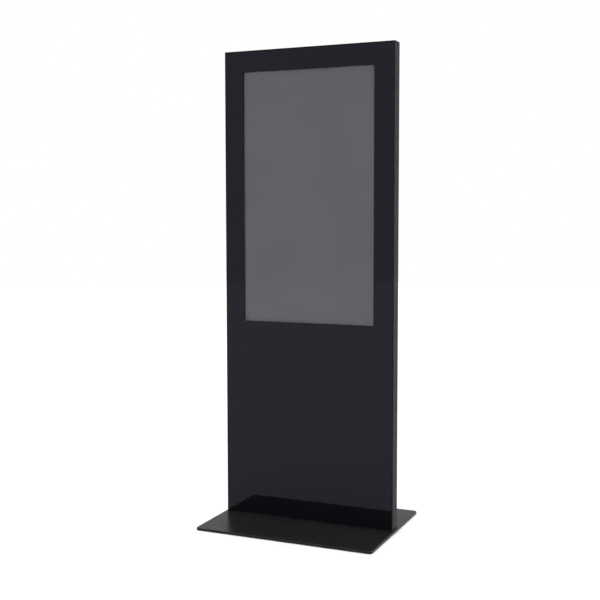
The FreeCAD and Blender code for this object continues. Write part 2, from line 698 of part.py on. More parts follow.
def fan_rotor(x):
    """Hub cup with a shaft bore and seven twisted blades."""
    y0 = FAN_FRONT + 3
    y1 = FAN_BACK - 1
    hub = rod_y(x, FAN_Z, ROTOR_HUB, y0, y1)
    rim = V(x - ROTOR_HUB - 1, y1 - 0.01, FAN_Z - ROTOR_HUB - 1)
    hub = soften(hub, 1.5, rim, V(x + ROTOR_HUB + 1, y1 + 0.01, FAN_Z + ROTOR_HUB + 1))
    blades = []
    for step in range(7):
        blade = box(x + ROTOR_HUB - 3, x + ROTOR_TIP, y0 + 1, y1 - 0.5, FAN_Z - 0.7, FAN_Z + 0.7)
        blade.rotate(V(x, (y0 + y1) / 2, FAN_Z), V(1, 0, 0), 42)
        blade.rotate(V(x, 0, FAN_Z), V(0, 1, 0), step * 360 / 7)
        blades.append(blade)
    rotor = union(hub, *blades)
    swept = rod_y(x, FAN_Z, ROTOR_TIP, y0, y1)
    return rotor.common(swept).cut(rod_y(x, FAN_Z, 2.5 + RUNNING, y0 - 1, FAN_FRONT + 9.5))


def fan_screws():
    screws = []
    for x, z in fan_screw_places():
        screws.append(pan_screw(V(x, LEDGE_R, z), V(0, -1, 0), 2.9, 1.5, 12))
    return group(screws)


# ---------------------------------------------------------------- rear door
LOCK_X = HALF_W - 42.0
LOCK_Z = {"lower": 560.0, "upper": 1420.0}
SLOT_WIDTH = 3.5
SLOT_HEIGHT = 42.0
SLOT_PITCH = 11.0


def vent_slots(z, columns):
    """Row of upright slots with round ends, cut through the sheet at the back of the body."""
    slots = []
    for step in range(columns):
        x = (step - (columns - 1) / 2) * SLOT_PITCH
        slots.append(rounded_box(x - SLOT_WIDTH / 2, x + SLOT_WIDTH / 2, DOOR_INNER - 2, DOOR_REAR + 1,
                                 z - SLOT_HEIGHT / 2, z + SLOT_HEIGHT / 2, SLOT_WIDTH * 0.49, 1))
    return group(slots)


VENT_ROWS = [(FAN_Z - 2, 30), (300.0, 30), (356.0, 30)]


def rear_door():
    """Folded sheet door: skin with four turned-in edges, vent slots, two lock holes and filter rails."""
    skin = rounded_box(-DOOR_X, DOOR_X, DOOR_INNER, DOOR_REAR, DOOR_Z0, DOOR_Z1, 2, 1)
    outer = rounded_box(-DOOR_X, DOOR_X, FLANGE_END, DOOR_INNER, DOOR_Z0, DOOR_Z1, 2, 1)
    inner = box(-DOOR_X + SHEET, DOOR_X - SHEET, FLANGE_END - 1, DOOR_INNER, DOOR_Z0 + SHEET, DOOR_Z1 - SHEET)
    door = union(skin, outer.cut(inner))
    low = V(-DOOR_X - 1, DOOR_REAR - 0.01, DOOR_Z0 - 1)
    door = soften(door, 0.7, low, V(DOOR_X + 1, DOOR_REAR + 0.01, DOOR_Z1 + 1))
    for z, columns in VENT_ROWS:
        door = door.cut(vent_slots(z, columns))
    for z in LOCK_Z.values():
        door = door.cut(rod_y(LOCK_X, z, 9.5, DOOR_INNER - 1, DOOR_REAR + 1))
    return union(door, *filter_rails())


def door_gasket():
    """Foam strips on the rear ledges, which the door's turned edges press on."""
    half = 3.0
    x = DOOR_X - half - 0.5
    y0 = LEDGE_R1
    y1 = LEDGE_R1 + GASKET_THICK - 0.3
    z0 = DOOR_Z0 + 4
    z1 = DOOR_Z1
    upright = box(x - half, x + half, y0, y1, z0, z1)
    top = box(-x + half, x - half, y0, y1, z1 - 2 * half, z1)
    return group([upright, mirrored_x(upright), top])


def intake_filter():
    """Filter mat behind the lower vent slots, held between two rails on the door."""
    return box(-180, 180, DOOR_INNER - 6, DOOR_INNER - 1, 270, 386)


def filter_rails():
    """Two lipped rails welded inside the door that hold the filter mat."""
    rails = []
    for z, lip in ((386.0, -1), (270.0, 1)):
        wall = box(-180, 180, DOOR_INNER - 8, DOOR_INNER, min(z, z - lip * 1.2), max(z, z - lip * 1.2))
        face = box(-180, 180, DOOR_INNER - 8, DOOR_INNER - 6.8, min(z, z + lip * 7), max(z, z + lip * 7))
        rails.append(union(wall, face))
    return rails


# ---------------------------------------------------------------- hinges
HINGE_Z = [330.0, 990.0, 1650.0]
BARREL = 28.0                  # length of each hinge barrel
BARREL_GAP = 0.6
PIN_R = 2.2


def hinge_frame_barrels():
    """Lower barrels with tongues that are welded to the frame's rear edge."""
    pieces = []
    for z in HINGE_Z:
        barrel = rod_z(HINGE_X, HINGE_Y, BARREL_R, z - BARREL - BARREL_GAP / 2, z - BARREL_GAP / 2)
        tongue = box(-HALF_W, -HALF_W + WALL, BACK, HINGE_Y, z - BARREL - BARREL_GAP / 2, z - BARREL_GAP / 2)
        hole = rod_z(HINGE_X, HINGE_Y, PIN_R, z - BARREL + 4, z + 1)
        pieces.append(union(barrel, tongue).cut(hole))
    return group(pieces)


def hinge_door_barrels():
    """Upper barrels with leaves that lie on the door's skin."""
    pieces = []
    for z in HINGE_Z:
        z0 = z + BARREL_GAP / 2
        barrel = rod_z(HINGE_X, HINGE_Y, BARREL_R, z0, z0 + BARREL)
        leaf = box(HINGE_X + 1, HINGE_X + 30, BACK, BACK + 2, z0, z0 + BARREL)
        hole = rod_z(HINGE_X, HINGE_Y, PIN_R + RUNNING, z0 - 1, z0 + BARREL - 4)
        pieces.append(union(barrel, leaf).cut(hole))
    return group(pieces)


def hinge_pins():
    """Pins pressed in the lower barrels; the door lifts off them."""
    return group([rod_z(HINGE_X, HINGE_Y, PIN_R, z - BARREL + 4, z + BARREL - 6) for z in HINGE_Z])


def hinge_rivets():
    """Two rivets in each hinge leaf."""
    rivets = []
    for z in HINGE_Z:
        for offset in (8.0, 21.0):
            head = rod_y(HINGE_X + 21, z + offset, 3.2, BACK + 2, BACK + 3.2)
            rivets.append(head)
    return group(rivets)


# ---------------------------------------------------------------- quarter-turn locks
PLUG_R = 6.0
CAM_LENGTH = 34.0
CAM_BACK = LEDGE_R - 1.0
CAM_FRONT = CAM_BACK - 2.5


def lock_body(z):
    """Lock housing: flange on the door skin and threaded body through it, bored for the plug."""
    flange = rod_y(LOCK_X, z, 12.5, BACK, BACK + 3)
    rim = V(LOCK_X - 14, BACK + 2.9, z - 14)
    flange = soften(flange, 1.2, rim, V(LOCK_X + 14, BACK + 3.1, z + 14))
    barrel = rod_y(LOCK_X, z, 9.3, CAM_BACK + 0.4, BACK)
    bore = rod_y(LOCK_X, z, PLUG_R + RUNNING, CAM_BACK - 1, BACK + 4)
    return union(flange, barrel).cut(bore)


def lock_bodies():
    return group([lock_body(z) for z in LOCK_Z.values()])


def lock_nuts():
    nuts = []
    for z in LOCK_Z.values():
        nut = hexagon(LOCK_X, z, 13.5, DOOR_INNER - 5, DOOR_INNER)
        nuts.append(nut.cut(rod_y(LOCK_X, z, 9.3, DOOR_INNER - 6, DOOR_INNER + 1)))
    return group(nuts)


def lock_plug(z):
    """Turning plug with a key slot in its face and a square at its inner end."""
    plug = rod_y(LOCK_X, z, PLUG_R, CAM_BACK, BACK + 3.4)
    key_slot = box(LOCK_X - 0.8, LOCK_X + 0.8, BACK - 4, BACK + 4, z - 4, z + 4)
    square = box(LOCK_X - 3.5, LOCK_X + 3.5, CAM_FRONT - 1, CAM_BACK, z - 3.5, z + 3.5)
    return union(plug, square).cut(key_slot)


def lock_cam(z):
    """Latch cam on the plug's square: it hangs down when unlocked and turns behind the ledge to lock."""
    arm = rounded_box(LOCK_X - 8, LOCK_X + 8, CAM_FRONT, CAM_BACK, z - CAM_LENGTH, z + 8, 6, 1)
    return arm.cut(box(LOCK_X - 3.5, LOCK_X + 3.5, CAM_FRONT - 1, CAM_BACK + 1, z - 3.5, z + 3.5))


# ---------------------------------------------------------------- connection panel
PANEL_THICK = 2.0
PANEL_X = INNER_W - 1.0
PANEL_Z0 = BODY_Z0 + WALL + 1.0
PANEL_Z1 = BODY_Z0 + WALL + PANEL_HEIGHT
PANEL_FRONT = BACK - PANEL_THICK
INLET_X = 210.0
INLET_Z = 105.0
INLET_HALF_X = 14.0
INLET_HALF_Z = 31.0
LAN_PORT_X = 140.0
LAN_PORT_Z = 105.0
PANEL_SCREW_X = [-320.0, 0.0, 320.0]
PANEL_SCREW_Z = [26.0, 198.0]
PANEL_SCREWS = [(x, z) for x in PANEL_SCREW_X for z in PANEL_SCREW_Z]


def rear_panel():
    """Connection panel: sheet with a turned-in upper edge, spacers below and cut-outs for the sockets."""
    skin = rounded_box(-PANEL_X, PANEL_X, PANEL_FRONT, BACK, PANEL_Z0, PANEL_Z1, 1.5, 1)
    low = V(-PANEL_X - 1, BACK - 0.01, PANEL_Z0 - 1)
    skin = soften(skin, 0.7, low, V(PANEL_X + 1, BACK + 0.01, PANEL_Z1 + 1))
    upper = box(-DOOR_X + 20, DOOR_X - 20, LEDGE_R1, PANEL_FRONT, PANEL_Z1 - PANEL_THICK, PANEL_Z1)
    tabs = [rod_y(x, PANEL_SCREW_Z[0], 6, LEDGE_R1, PANEL_FRONT) for x in PANEL_SCREW_X]
    panel = union(skin, upper, *tabs)
    panel = panel.cut(box(INLET_X - INLET_HALF_X, INLET_X + INLET_HALF_X, PANEL_FRONT - 1, BACK + 1,
                          INLET_Z - INLET_HALF_Z, INLET_Z + INLET_HALF_Z))
    panel = panel.cut(box(LAN_PORT_X - 8.5, LAN_PORT_X + 8.5, PANEL_FRONT - 1, BACK + 1,
                          LAN_PORT_Z - 9.5, LAN_PORT_Z + 9.5))
    for x, z in PANEL_SCREWS:
        panel = panel.cut(rod_y(x, z, 2.2, LEDGE_R1 - 1, BACK + 1))
    return panel


def panel_screws():
    screws = []
    for x, z in PANEL_SCREWS:
        screws.append(pan_screw(V(x, BACK, z), V(0, -1, 0), 4.2, 2.0, 12))
    return group(screws)


SOCKET_HALF_X = 12.0
SOCKET_HALF_Z = 8.25
SOCKET_Z = INLET_Z - 17.0
SOCKET_MOUTH = BACK + 3.0
SOCKET_FLOOR = SOCKET_MOUTH - 17.0
FUSE_Z = INLET_Z - 1.5
FUSE_HALF_X = 11.0
FUSE_HALF_Z = 4.0
ROCKER_Z = INLET_Z + 17.5
ROCKER_HALF_X = 10.0
ROCKER_HALF_Z = 8.0
INLET_DEEP = BACK - 23.0
ROCKER_AXIS_Y = BACK - 1.0


def power_inlet():
    """Mains inlet with three pins in its socket, a fuse drawer slot and a rocker opening above."""
    flange = rounded_box(INLET_X - 17, INLET_X + 17, BACK, SOCKET_MOUTH, INLET_Z - 36, INLET_Z + 36, 5, 1)
    rim = V(INLET_X - 18, SOCKET_MOUTH - 0.01, INLET_Z - 37)
    flange = soften(flange, 1.0, rim, V(INLET_X + 18, SOCKET_MOUTH + 0.01, INLET_Z + 37))
    body = box(INLET_X - 13.5, INLET_X + 13.5, INLET_DEEP, BACK, INLET_Z - 30.5, INLET_Z + 30.5)
    inlet = union(flange, body)
    inlet = inlet.cut(box(INLET_X - SOCKET_HALF_X, INLET_X + SOCKET_HALF_X, SOCKET_FLOOR, SOCKET_MOUTH + 1,
                          SOCKET_Z - SOCKET_HALF_Z, SOCKET_Z + SOCKET_HALF_Z))
    inlet = inlet.cut(box(INLET_X - FUSE_HALF_X, INLET_X + FUSE_HALF_X, INLET_DEEP + 2, SOCKET_MOUTH + 1,
                          FUSE_Z - FUSE_HALF_Z, FUSE_Z + FUSE_HALF_Z))
    inlet = inlet.cut(box(INLET_X - ROCKER_HALF_X, INLET_X + ROCKER_HALF_X, BACK - 9, SOCKET_MOUTH + 1,
                          ROCKER_Z - ROCKER_HALF_Z, ROCKER_Z + ROCKER_HALF_Z))
    pins = []
    for x, z in ((-7, -2), (7, -2), (0, 2)):
        pins.append(box(INLET_X + x - 1, INLET_X + x + 1, SOCKET_FLOOR - 1, SOCKET_MOUTH - 4.6,
                        SOCKET_Z + z - 2, SOCKET_Z + z + 2))
    return union(inlet, *pins)


def rocker_switch():
    """Rocker with two sloped faces that meet over its pivot, tilted to its off side at rest."""
    half_x = ROCKER_HALF_X - 0.4
    half_z = ROCKER_HALF_Z - 1.0
    proud = SOCKET_MOUTH + 2.6
    outline = [V(0, ROCKER_AXIS_Y - 2, ROCKER_Z - half_z), V(0, SOCKET_MOUTH + 1.4, ROCKER_Z - half_z),
               V(0, proud - 1.9, ROCKER_Z), V(0, SOCKET_MOUTH + 1.4, ROCKER_Z + half_z),
               V(0, ROCKER_AXIS_Y - 2, ROCKER_Z + half_z)]
    face = Part.Face(Part.makePolygon(outline + [outline[0]]))
    rocker = face.extrude(V(2 * half_x, 0, 0))
    rocker.translate(V(INLET_X - half_x, 0, 0))
    rocker.rotate(V(INLET_X, ROCKER_AXIS_Y, ROCKER_Z), V(1, 0, 0), ROCKER_TILT)
    return rocker


ROCKER_TILT = 8.0


def fuse_drawer():
    """Drawer that carries the fuse: a face with a finger notch and a long tray."""
    front = SOCKET_MOUTH + 1.0
    half_x = FUSE_HALF_X - 0.3
    half_z = FUSE_HALF_Z - 0.3
    body = box(INLET_X - half_x, INLET_X + half_x, INLET_DEEP + 3, front, FUSE_Z - half_z, FUSE_Z + half_z)
    notch = rod_y(INLET_X, FUSE_Z - half_z, 3, front - 1.5, front + 1)
    tray = box(INLET_X - half_x + 2, INLET_X + half_x - 2, INLET_DEEP + 5, front - 6, FUSE_Z - half_z + 1.4,
               FUSE_Z + half_z + 1)
    return body.cut(notch).cut(tray)


def fuse():
    """Glass-tube fuse lying in the drawer's tray."""
    z = FUSE_Z - FUSE_HALF_Z + 0.3 + 1.4 + 2.5
    y = (INLET_DEEP + 5 + SOCKET_MOUTH - 5) / 2
    return rod(INLET_X - 8, y, z, 2.4, 16, V(1, 0, 0))


def lan_coupler():
    """Network coupler in the panel: body, face frame and a socket opening."""
    x = LAN_PORT_X
    z = LAN_PORT_Z
    body = box(x - 8.2, x + 8.2, BACK - 24, BACK + 1.5, z - 9.2, z + 9.2)
    frame = box(x - 10.5, x + 10.5, BACK, BACK + 1.5, z - 11.5, z + 11.5)
    coupler = union(body, frame)
    coupler = coupler.cut(box(x - 5.9, x + 5.9, BACK - 9, BACK + 2, z - 3.6, z + 4.4))
    return coupler.cut(box(x - 2.2, x + 2.2, BACK - 9, BACK + 2, z - 6.4, z - 3.5))


# ---------------------------------------------------------------- leads
def lead_path(points):
    """Straight runs joined by tangent arcs, each as large as its two runs allow. Returns wire and radii."""
    edges = []
    radii = []
    start = points[0]
    for before, corner, after in zip(points, points[1:], points[2:]):
        incoming = (corner - before).normalize()
        outgoing = (after - corner).normalize()
        turn = incoming.getAngle(outgoing)
        run = min((corner - before).Length, (after - corner).Length)
        radius = 0.45 * run / math.tan(turn / 2)
        reach = 0.45 * run
        arc_start = corner - incoming * reach
        arc_end = corner + outgoing * reach
        towards = (outgoing - incoming).normalize()
        middle = corner + towards * (radius / math.cos(turn / 2) - radius)
        edges.append(Part.LineSegment(start, arc_start).toShape())
        edges.append(Part.Arc(arc_start, middle, arc_end).toShape())
        radii.append(radius)
        start = arc_end
    edges.append(Part.LineSegment(start, points[-1]).toShape())
    return Part.Wire(edges), radii


def lead(name, route, diameter):
    """Round lead along a route of points, checked against its section times its length."""
    points = [V(*place) for place in route]
    wire, radii = lead_path(points)
    direction = (points[1] - points[0]).normalize()
    ring = Part.Wire([Part.makeCircle(diameter / 2, points[0], direction)])
    tube = wire.makePipeShell([ring], True, False)
    expected = math.pi * diameter ** 2 / 4 * wire.Length
    error = 100 * (tube.Volume / expected - 1)
    tightest = min(radii) / diameter
    print(f"{name}: length {wire.Length:.0f} mm, tightest bend {tightest:.1f} diameters, volume {error:+.2f} %")
    return tube


LEAD_ROUTES = {
    "hdmi_lead": (6.0, [(-60, 9, 970), (-61, 11, 940), (-66, 17, 905), (-80, 19, 865), (-100, 17.5, 825),
                        (-130, 12, 775), (-165, 6, 730), (-186, PORT_Y + 0.5, 685), (HDMI_X, PORT_Y, 644)]),
    "usb_lead": (4.0, [(-35, -3, 687), (-55, -3, 686), (-80, -2, 682), (-100, 0, 672), (-109, PORT_Y - 0.5, 657),
                       (USB_X, PORT_Y, 642)]),
    "lan_lead": (5.0, [(LAN_PORT_X, 16, 116), (139, 15, 140), (134, 11, 175), (118, 5, 215), (88, 0, 255),
                       (45, -3, 290), (-5, -4, 322), (-60, -4, 350), (-115, -3, 372), (-160, -1, 392),
                       (-190, PORT_Y - 1, 418), (LAN_X, PORT_Y, 448)]),
    "mains_lead": (7.0, [(INLET_X, 13, 140), (INLET_X, 12, 163), (212, 7, 200), (218, 2, 248),
                         (226, -1.5, 300), (231, -3.5, 350), (232, -3, 400), (PSU_IN_X, -1.5, 440),
                         (PSU_IN_X, -1, 466)]),
    "display_lead": (5.0, [(PSU_OUT_X, PSU_LEAD_Y, 573), (130.5, -1, 600), (132, 2, 640), (133, 8, 690),
                           (130, 14, 745), (122, 18, 800), (108, 19, 850), (90, 18, 895), (70, 13.5, 935),
                           (56, 10, 970)]),
    "player_lead": (4.0, [(PSU_PLAYER_X, -3, 468), (108, -4, 448), (95, -5, 425), (65, -5.5, 408),
                          (25, -5.5, 402), (-20, -5, 402), (-65, -4, 404), (-100, -2, 412),
                          (-123, PORT_Y - 1.5, 428), (DC_X, PORT_Y, 450)]),
}


def plug(x, y, z0, z1, width, thick):
    """Moulded plug body, upright, with rounded edges."""
    return rounded_box(x - width / 2, x + width / 2, y - thick / 2, y + thick / 2, z0, z1, 1.2, 2)


LEAD_PLUGS = {
    "hdmi_lead": [(-60, 9, 970, 1000, 20, 10), (HDMI_X, PORT_Y, PLAYER_Z[1], 644, 20, 10)],
    "usb_lead": [(USB_X, PORT_Y, PLAYER_Z[1], 642, 15, 8)],
    "lan_lead": [(LAN_X, PORT_Y, 448, PLAYER_Z[0], 12, 9), (LAN_PORT_X, 16, 114.2, 122, 11, 9)],
    "mains_lead": [(INLET_X, 13, 135.5, 145, 12, 12), (PSU_IN_X, -1, 456, PSU_Z[0], 12, 12)],
    "display_lead": [(PSU_OUT_X, PSU_LEAD_Y, 570, 580, 10, 8), (56, 10, 970, 1000, 12, 8)],
    "player_lead": [(PSU_PLAYER_X, -3, 460, PSU_Z[0], 8, 7), (DC_X, PORT_Y, 450, PLAYER_Z[0], 8, 8)],
}


def lead_with_plugs(name):
    diameter, route = LEAD_ROUTES[name]
    tube = lead(name, route, diameter)
    return union(tube, *[plug(*sizes) for sizes in LEAD_PLUGS[name]])


CLIP_PLACES = {
    "lan_lead": [(88, 255), (-60, 350)],
    "mains_lead": [(226, 300), (232, 400)],
    "player_lead": [(25, 402), (-65, 404)],
}


def cable_clips(leads):
    """Saddles on the tray that hold the leads: each is cut to fit round its lead."""
    clips = []
    for name, places in CLIP_PLACES.items():
        diameter = LEAD_ROUTES[name][0]
        for x, z in places:
            near = [point for point in LEAD_ROUTES[name][1] if point[0] == x and point[2] == z]
            top = near[0][1] + diameter / 2 + 2
            block = box(x - 7, x + 7, TRAY_BACK, top, z - 5, z + 5)
            clip = block.cut(leads[name])
            clips += clip.Solids
    return group(clips)


# ---------------------------------------------------------------- node list
def write(nodes):
    os.makedirs("parts", exist_ok=True)
    for name, shape in nodes.items():
        solids = len(shape.Solids)
        valid = shape.isValid()
        print(f"{name}: {solids} solids, {shape.Volume / 1000:.1f} cm3, valid {valid}")
        shape.exportStep(f"parts/{name}.step")


def build():
    nodes = {}
    for maker in (base_plate, foot_pads, base_screws, foot_brackets, frame_left, frame_right, frame_top,
                  frame_bottom, corner_cleats, cleat_screws, front_glass, glass_tape, touch_sensor,
                  touch_controller, lcd_bezel, lcd_cell, light_guide, lcd_chassis, scaler_board, backlight_driver,
                  lcd_rails, ledge_screws, electronics_tray, tray_screws, media_player, power_button,
                  power_supply, earth_stud, fan_bracket, fan_frames, fan_screws, rear_door, door_gasket,
                  intake_filter, hinge_frame_barrels, hinge_door_barrels, hinge_pins,
                  hinge_rivets, lock_bodies, lock_nuts, rear_panel, panel_screws, power_inlet,
                  rocker_switch, fuse_drawer, fuse, lan_coupler):
        nodes[maker.__name__] = maker()
    for count, x in enumerate(FAN_X, start=1):
        nodes[f"fan_rotor_{count}"] = fan_rotor(x)
    for place, z in LOCK_Z.items():
        nodes[f"lock_plug_{place}"] = lock_plug(z)
        nodes[f"lock_cam_{place}"] = lock_cam(z)
    leads = {name: lead_with_plugs(name) for name in LEAD_ROUTES}
    for name in ("hdmi_lead", "usb_lead", "lan_lead", "mains_lead"):
        nodes[name] = leads[name]
    nodes["supply_leads"] = group([leads["display_lead"], leads["player_lead"]])
    nodes["cable_clips"] = cable_clips(leads)
    return nodes


write(build())
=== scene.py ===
"""Looks of a slim free-standing touchscreen kiosk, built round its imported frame.

Everything is in metres in the frame's own axes: +X to the right seen from the front, the glass
faces -Y, +Z up, and the origin on the floor under the middle of the floor plate.
"""

import logging
import math
import random
from dataclasses import dataclass, field
from enum import Enum
from typing import Iterable

import bmesh
import bpy
from mathutils import Matrix, Vector


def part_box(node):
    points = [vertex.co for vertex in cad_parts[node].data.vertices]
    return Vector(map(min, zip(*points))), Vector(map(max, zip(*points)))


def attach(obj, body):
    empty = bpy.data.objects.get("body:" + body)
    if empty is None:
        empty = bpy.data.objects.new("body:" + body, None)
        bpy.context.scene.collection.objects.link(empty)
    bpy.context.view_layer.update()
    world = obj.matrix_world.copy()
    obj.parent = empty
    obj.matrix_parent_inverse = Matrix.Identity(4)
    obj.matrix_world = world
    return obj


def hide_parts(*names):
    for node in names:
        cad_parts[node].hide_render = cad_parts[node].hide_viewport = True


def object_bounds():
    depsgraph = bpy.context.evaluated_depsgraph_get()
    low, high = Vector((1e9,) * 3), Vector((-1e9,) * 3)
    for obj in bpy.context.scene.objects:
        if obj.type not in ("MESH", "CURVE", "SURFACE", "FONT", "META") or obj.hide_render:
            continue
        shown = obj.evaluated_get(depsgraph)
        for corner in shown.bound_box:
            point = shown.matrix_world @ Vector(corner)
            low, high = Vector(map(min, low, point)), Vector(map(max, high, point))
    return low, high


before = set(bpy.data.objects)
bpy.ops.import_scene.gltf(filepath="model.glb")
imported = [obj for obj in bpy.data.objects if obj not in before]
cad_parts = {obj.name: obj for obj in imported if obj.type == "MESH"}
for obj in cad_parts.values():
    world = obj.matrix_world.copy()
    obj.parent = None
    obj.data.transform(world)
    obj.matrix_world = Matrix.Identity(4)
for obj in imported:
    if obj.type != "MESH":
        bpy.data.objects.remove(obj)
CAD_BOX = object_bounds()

LOG = logging.getLogger("kiosk")
MM = 0.001
TOUCHING = 1e-6
SHARP_EDGE = math.radians(38)
Socket = bpy.types.NodeSocket
Tree = bpy.types.NodeTree
Node = bpy.types.Node


# ------------------------------------------------------------------ shading tools
def linear(hex_colour: str) -> tuple[float, float, float, float]:
    """Turn an sRGB hex colour into a linear one.

    Args:
        hex_colour: Colour as #rrggbb.

    Returns:
        Linear red, green, blue and an alpha of 1.
    """
    channels = [int(hex_colour[start:start + 2], 16) / 255 for start in (1, 3, 5)]
    bent = [c / 12.92 if c <= 0.04045 else ((c + 0.055) / 1.055) ** 2.4 for c in channels]
    return bent[0], bent[1], bent[2], 1.0


def per_metre(size_mm: float) -> float:
    """Pattern scale whose repeats are about this many millimetres apart."""
    return 1000.0 / size_mm


def feed(tree: Tree, node: Node, inputs: dict) -> Node:
    """Set or link inputs of a node, by name or number, and hand the node back."""
    for name, value in inputs.items():
        if isinstance(value, Socket):
            tree.links.new(value, node.inputs[name])
        else:
            node.inputs[name].default_value = value
    return node


def add(tree: Tree, kind: str, settings: dict | None = None, inputs: dict | None = None) -> Node:
    """Add one shader node with its settings and links.

    Args:
        tree: Node tree that takes the node.
        kind: Node type without its ShaderNode prefix.
        settings: Node properties by name.
        inputs: Values or sockets to link, by input name or number.

    Returns:
        The new node.
    """
    node = tree.nodes.new("ShaderNode" + kind)
    for name, value in (settings or {}).items():
        setattr(node, name, value)
    return feed(tree, node, inputs or {})


def noise(tree: Tree, place: Socket, size_mm: float, detail: float) -> Socket:
    """Soft noise with patches of this size."""
    inputs = {"Vector": place, "Scale": per_metre(size_mm), "Detail": detail}
    return add(tree, "TexNoise", {}, inputs).outputs[0]


def remap(tree: Tree, value: Socket, low: float, high: float, low_to: float = 0.0,
          high_to: float = 1.0) -> Socket:
    """Stretch the values between two limits to two others."""
    return add(tree, "MapRange", {}, {"Value": value, "From Min": low, "From Max": high,
                                      "To Min": low_to, "To Max": high_to}).outputs[0]


def blend(tree: Tree, share: Socket, start: str | Socket, end: str | Socket) -> Socket:
    """Mix two colours, each given as hex or as a socket."""
    ends = [linear(colour) if isinstance(colour, str) else colour for colour in (start, end)]
    return add(tree, "Mix", {"data_type": "RGBA"}, {0: share, 6: ends[0], 7: ends[1]}).outputs[2]


def mottled(tree: Tree, place: Socket, dark: str, light: str, size_mm: float) -> Socket:
    """Colour that drifts between two shades in soft patches of this size."""
    return blend(tree, remap(tree, noise(tree, place, size_mm, 3.0), 0.35, 0.65), dark, light)


def worn_between(tree: Tree, place: Socket, low: float, high: float, size_mm: float) -> Socket:
    """Roughness that drifts between two values in patches of this size."""
    return remap(tree, noise(tree, place, size_mm, 4.0), 0.3, 0.7, low, high)


def relief(tree: Tree, place: Socket, layers: Iterable[tuple[float, float]]) -> Socket:
    """Bump made of several grains on top of each other.

    Args:
        tree: Node tree to build in.
        place: Coordinates of the grains.
        layers: Pairs of grain size and height, both in millimetres.

    Returns:
        The normal socket.
    """
    normal = None
    for size_mm, height_mm in layers:
        inputs = {"Distance": height_mm * MM, "Height": noise(tree, place, size_mm, 2.0)}
        if normal is not None:
            inputs["Normal"] = normal
        normal = add(tree, "Bump", {}, inputs).outputs[0]
    return normal


def wear_and_highlight_edges(tree: Tree, radius_mm: float) -> Socket:
    """Mask of the edges, used both for rub wear and for painted highlights along edges: 1 on an edge and 0 on
    a flat.

    Args:
        tree: Node tree to build in.
        radius_mm: How far from the edge the rubbing reaches.

    Returns:
        radius_mm: How far from the edge the mask reaches.
    """
    rounded = add(tree, "Bevel", {"samples": 4}, {"Radius": radius_mm * MM})
    flat = add(tree, "NewGeometry")
    lean = add(tree, "VectorMath", {"operation": "DOT_PRODUCT"},
               {0: rounded.outputs[0], 1: flat.outputs["Normal"]})
    return remap(tree, lean.outputs["Value"], 0.99, 0.8)


# ------------------------------------------------------------------ finishes
@dataclass(frozen=True)
class Finish:
    """A surface finish, which makes its material once and hands it out again."""

    name: str
    dark: str
    light: str
    rough: tuple[float, float]

    def material(self) -> bpy.types.Material:
        """Make the material, or find it if it is made already."""
        made = bpy.data.materials.get(self.name)
        if made:
            return made
        made = bpy.data.materials.new(self.name)
        made.use_nodes = True
        made.diffuse_color = linear(self.light)
        tree = made.node_tree
        tree.nodes.clear()
        shader = add(tree, "BsdfPrincipled")
        add(tree, "OutputMaterial", {}, {"Surface": shader.outputs[0]})
        place = add(tree, "TexCoord").outputs["Object"]
        self.shade(tree, shader, place)
        return made

    def shade(self, tree: Tree, shader: Node, place: Socket) -> None:
        """Build the nodes of this finish; each kind of finish has its own."""
        raise NotImplementedError


@dataclass(frozen=True)
class PowderCoat(Finish):
    """Polyester powder coat, sprayed and baked: satin, with a fine grain over a soft orange peel."""

    # Colour of the lighter line along the edges: part rub wear, part painted highlight.
    edge: str = "#4c4d50"
    gloss: float = 0.3
    grain_mm: float = 0.9
    peel_mm: float = 4.0
    edge_mm: float = 1.2

    def shade(self, tree: Tree, shader: Node, place: Socket) -> None:
        """Shade the coat: cloudy black, a lighter line along the edges that is part rub wear and part painted
        highlight, grain and peel.
        """
        body = mottled(tree, place, self.dark, self.light, 38.0)
        # Patchy share of the edge colour: painted highlight and rub wear along the edges.
        share = add(tree, "Math", {"operation": "MULTIPLY"},
                    {0: wear_and_highlight_edges(tree, self.edge_mm), 1: noise(tree, place, 22.0, 5.0)})
        feed(tree, shader, {
            "Base Color": blend(tree, share.outputs[0], body, self.edge),
            "Roughness": worn_between(tree, place, *self.rough, 55.0),
            "Specular IOR Level": self.gloss,
            "Normal": relief(tree, place, ((self.peel_mm, 0.012), (self.grain_mm, 0.008))),
        })


@dataclass(frozen=True)
class Moulded(Finish):
    """Injection-moulded plastic or rubber from a spark-eroded mould: even, finely grained."""

    grain_mm: float = 0.5
    depth_mm: float = 0.02
    soft: float = 0.0

    def shade(self, tree: Tree, shader: Node, place: Socket) -> None:
        """Shade the moulding: slight flow marks and moulded grain."""
        feed(tree, shader, {
            "Base Color": mottled(tree, place, self.dark, self.light, 9.0),
            "Roughness": worn_between(tree, place, *self.rough, 6.0),
            "Subsurface Weight": self.soft,
            "Subsurface Radius": (0.002, 0.0018, 0.0015),
            "Normal": relief(tree, place, ((self.grain_mm, self.depth_mm),)),
        })


@dataclass(frozen=True)
class Foam(Finish):
    """Closed-cell foam or fibre: dull, with a coarse cell structure and no clear highlight."""

    cell_mm: float = 0.8
    depth_mm: float = 0.25

    def shade(self, tree: Tree, shader: Node, place: Socket) -> None:
        """Shade the foam: round cells, with painted shade in their hollows."""
        cells = add(tree, "TexVoronoi", {}, {"Vector": place, "Scale": per_metre(self.cell_mm)})
        dents = add(tree, "Bump", {"invert": True},
                    {"Distance": self.depth_mm * MM, "Height": cells.outputs["Distance"]})
        feed(tree, shader, {
            # Painted shade: colour runs from light at each cell's middle to dark where the bump dents it.
            "Base Color": blend(tree, cells.outputs["Distance"], self.light, self.dark),
            "Roughness": worn_between(tree, place, *self.rough, 4.0),
            "Specular IOR Level": 0.25,
            "Normal": dents.outputs[0],
        })


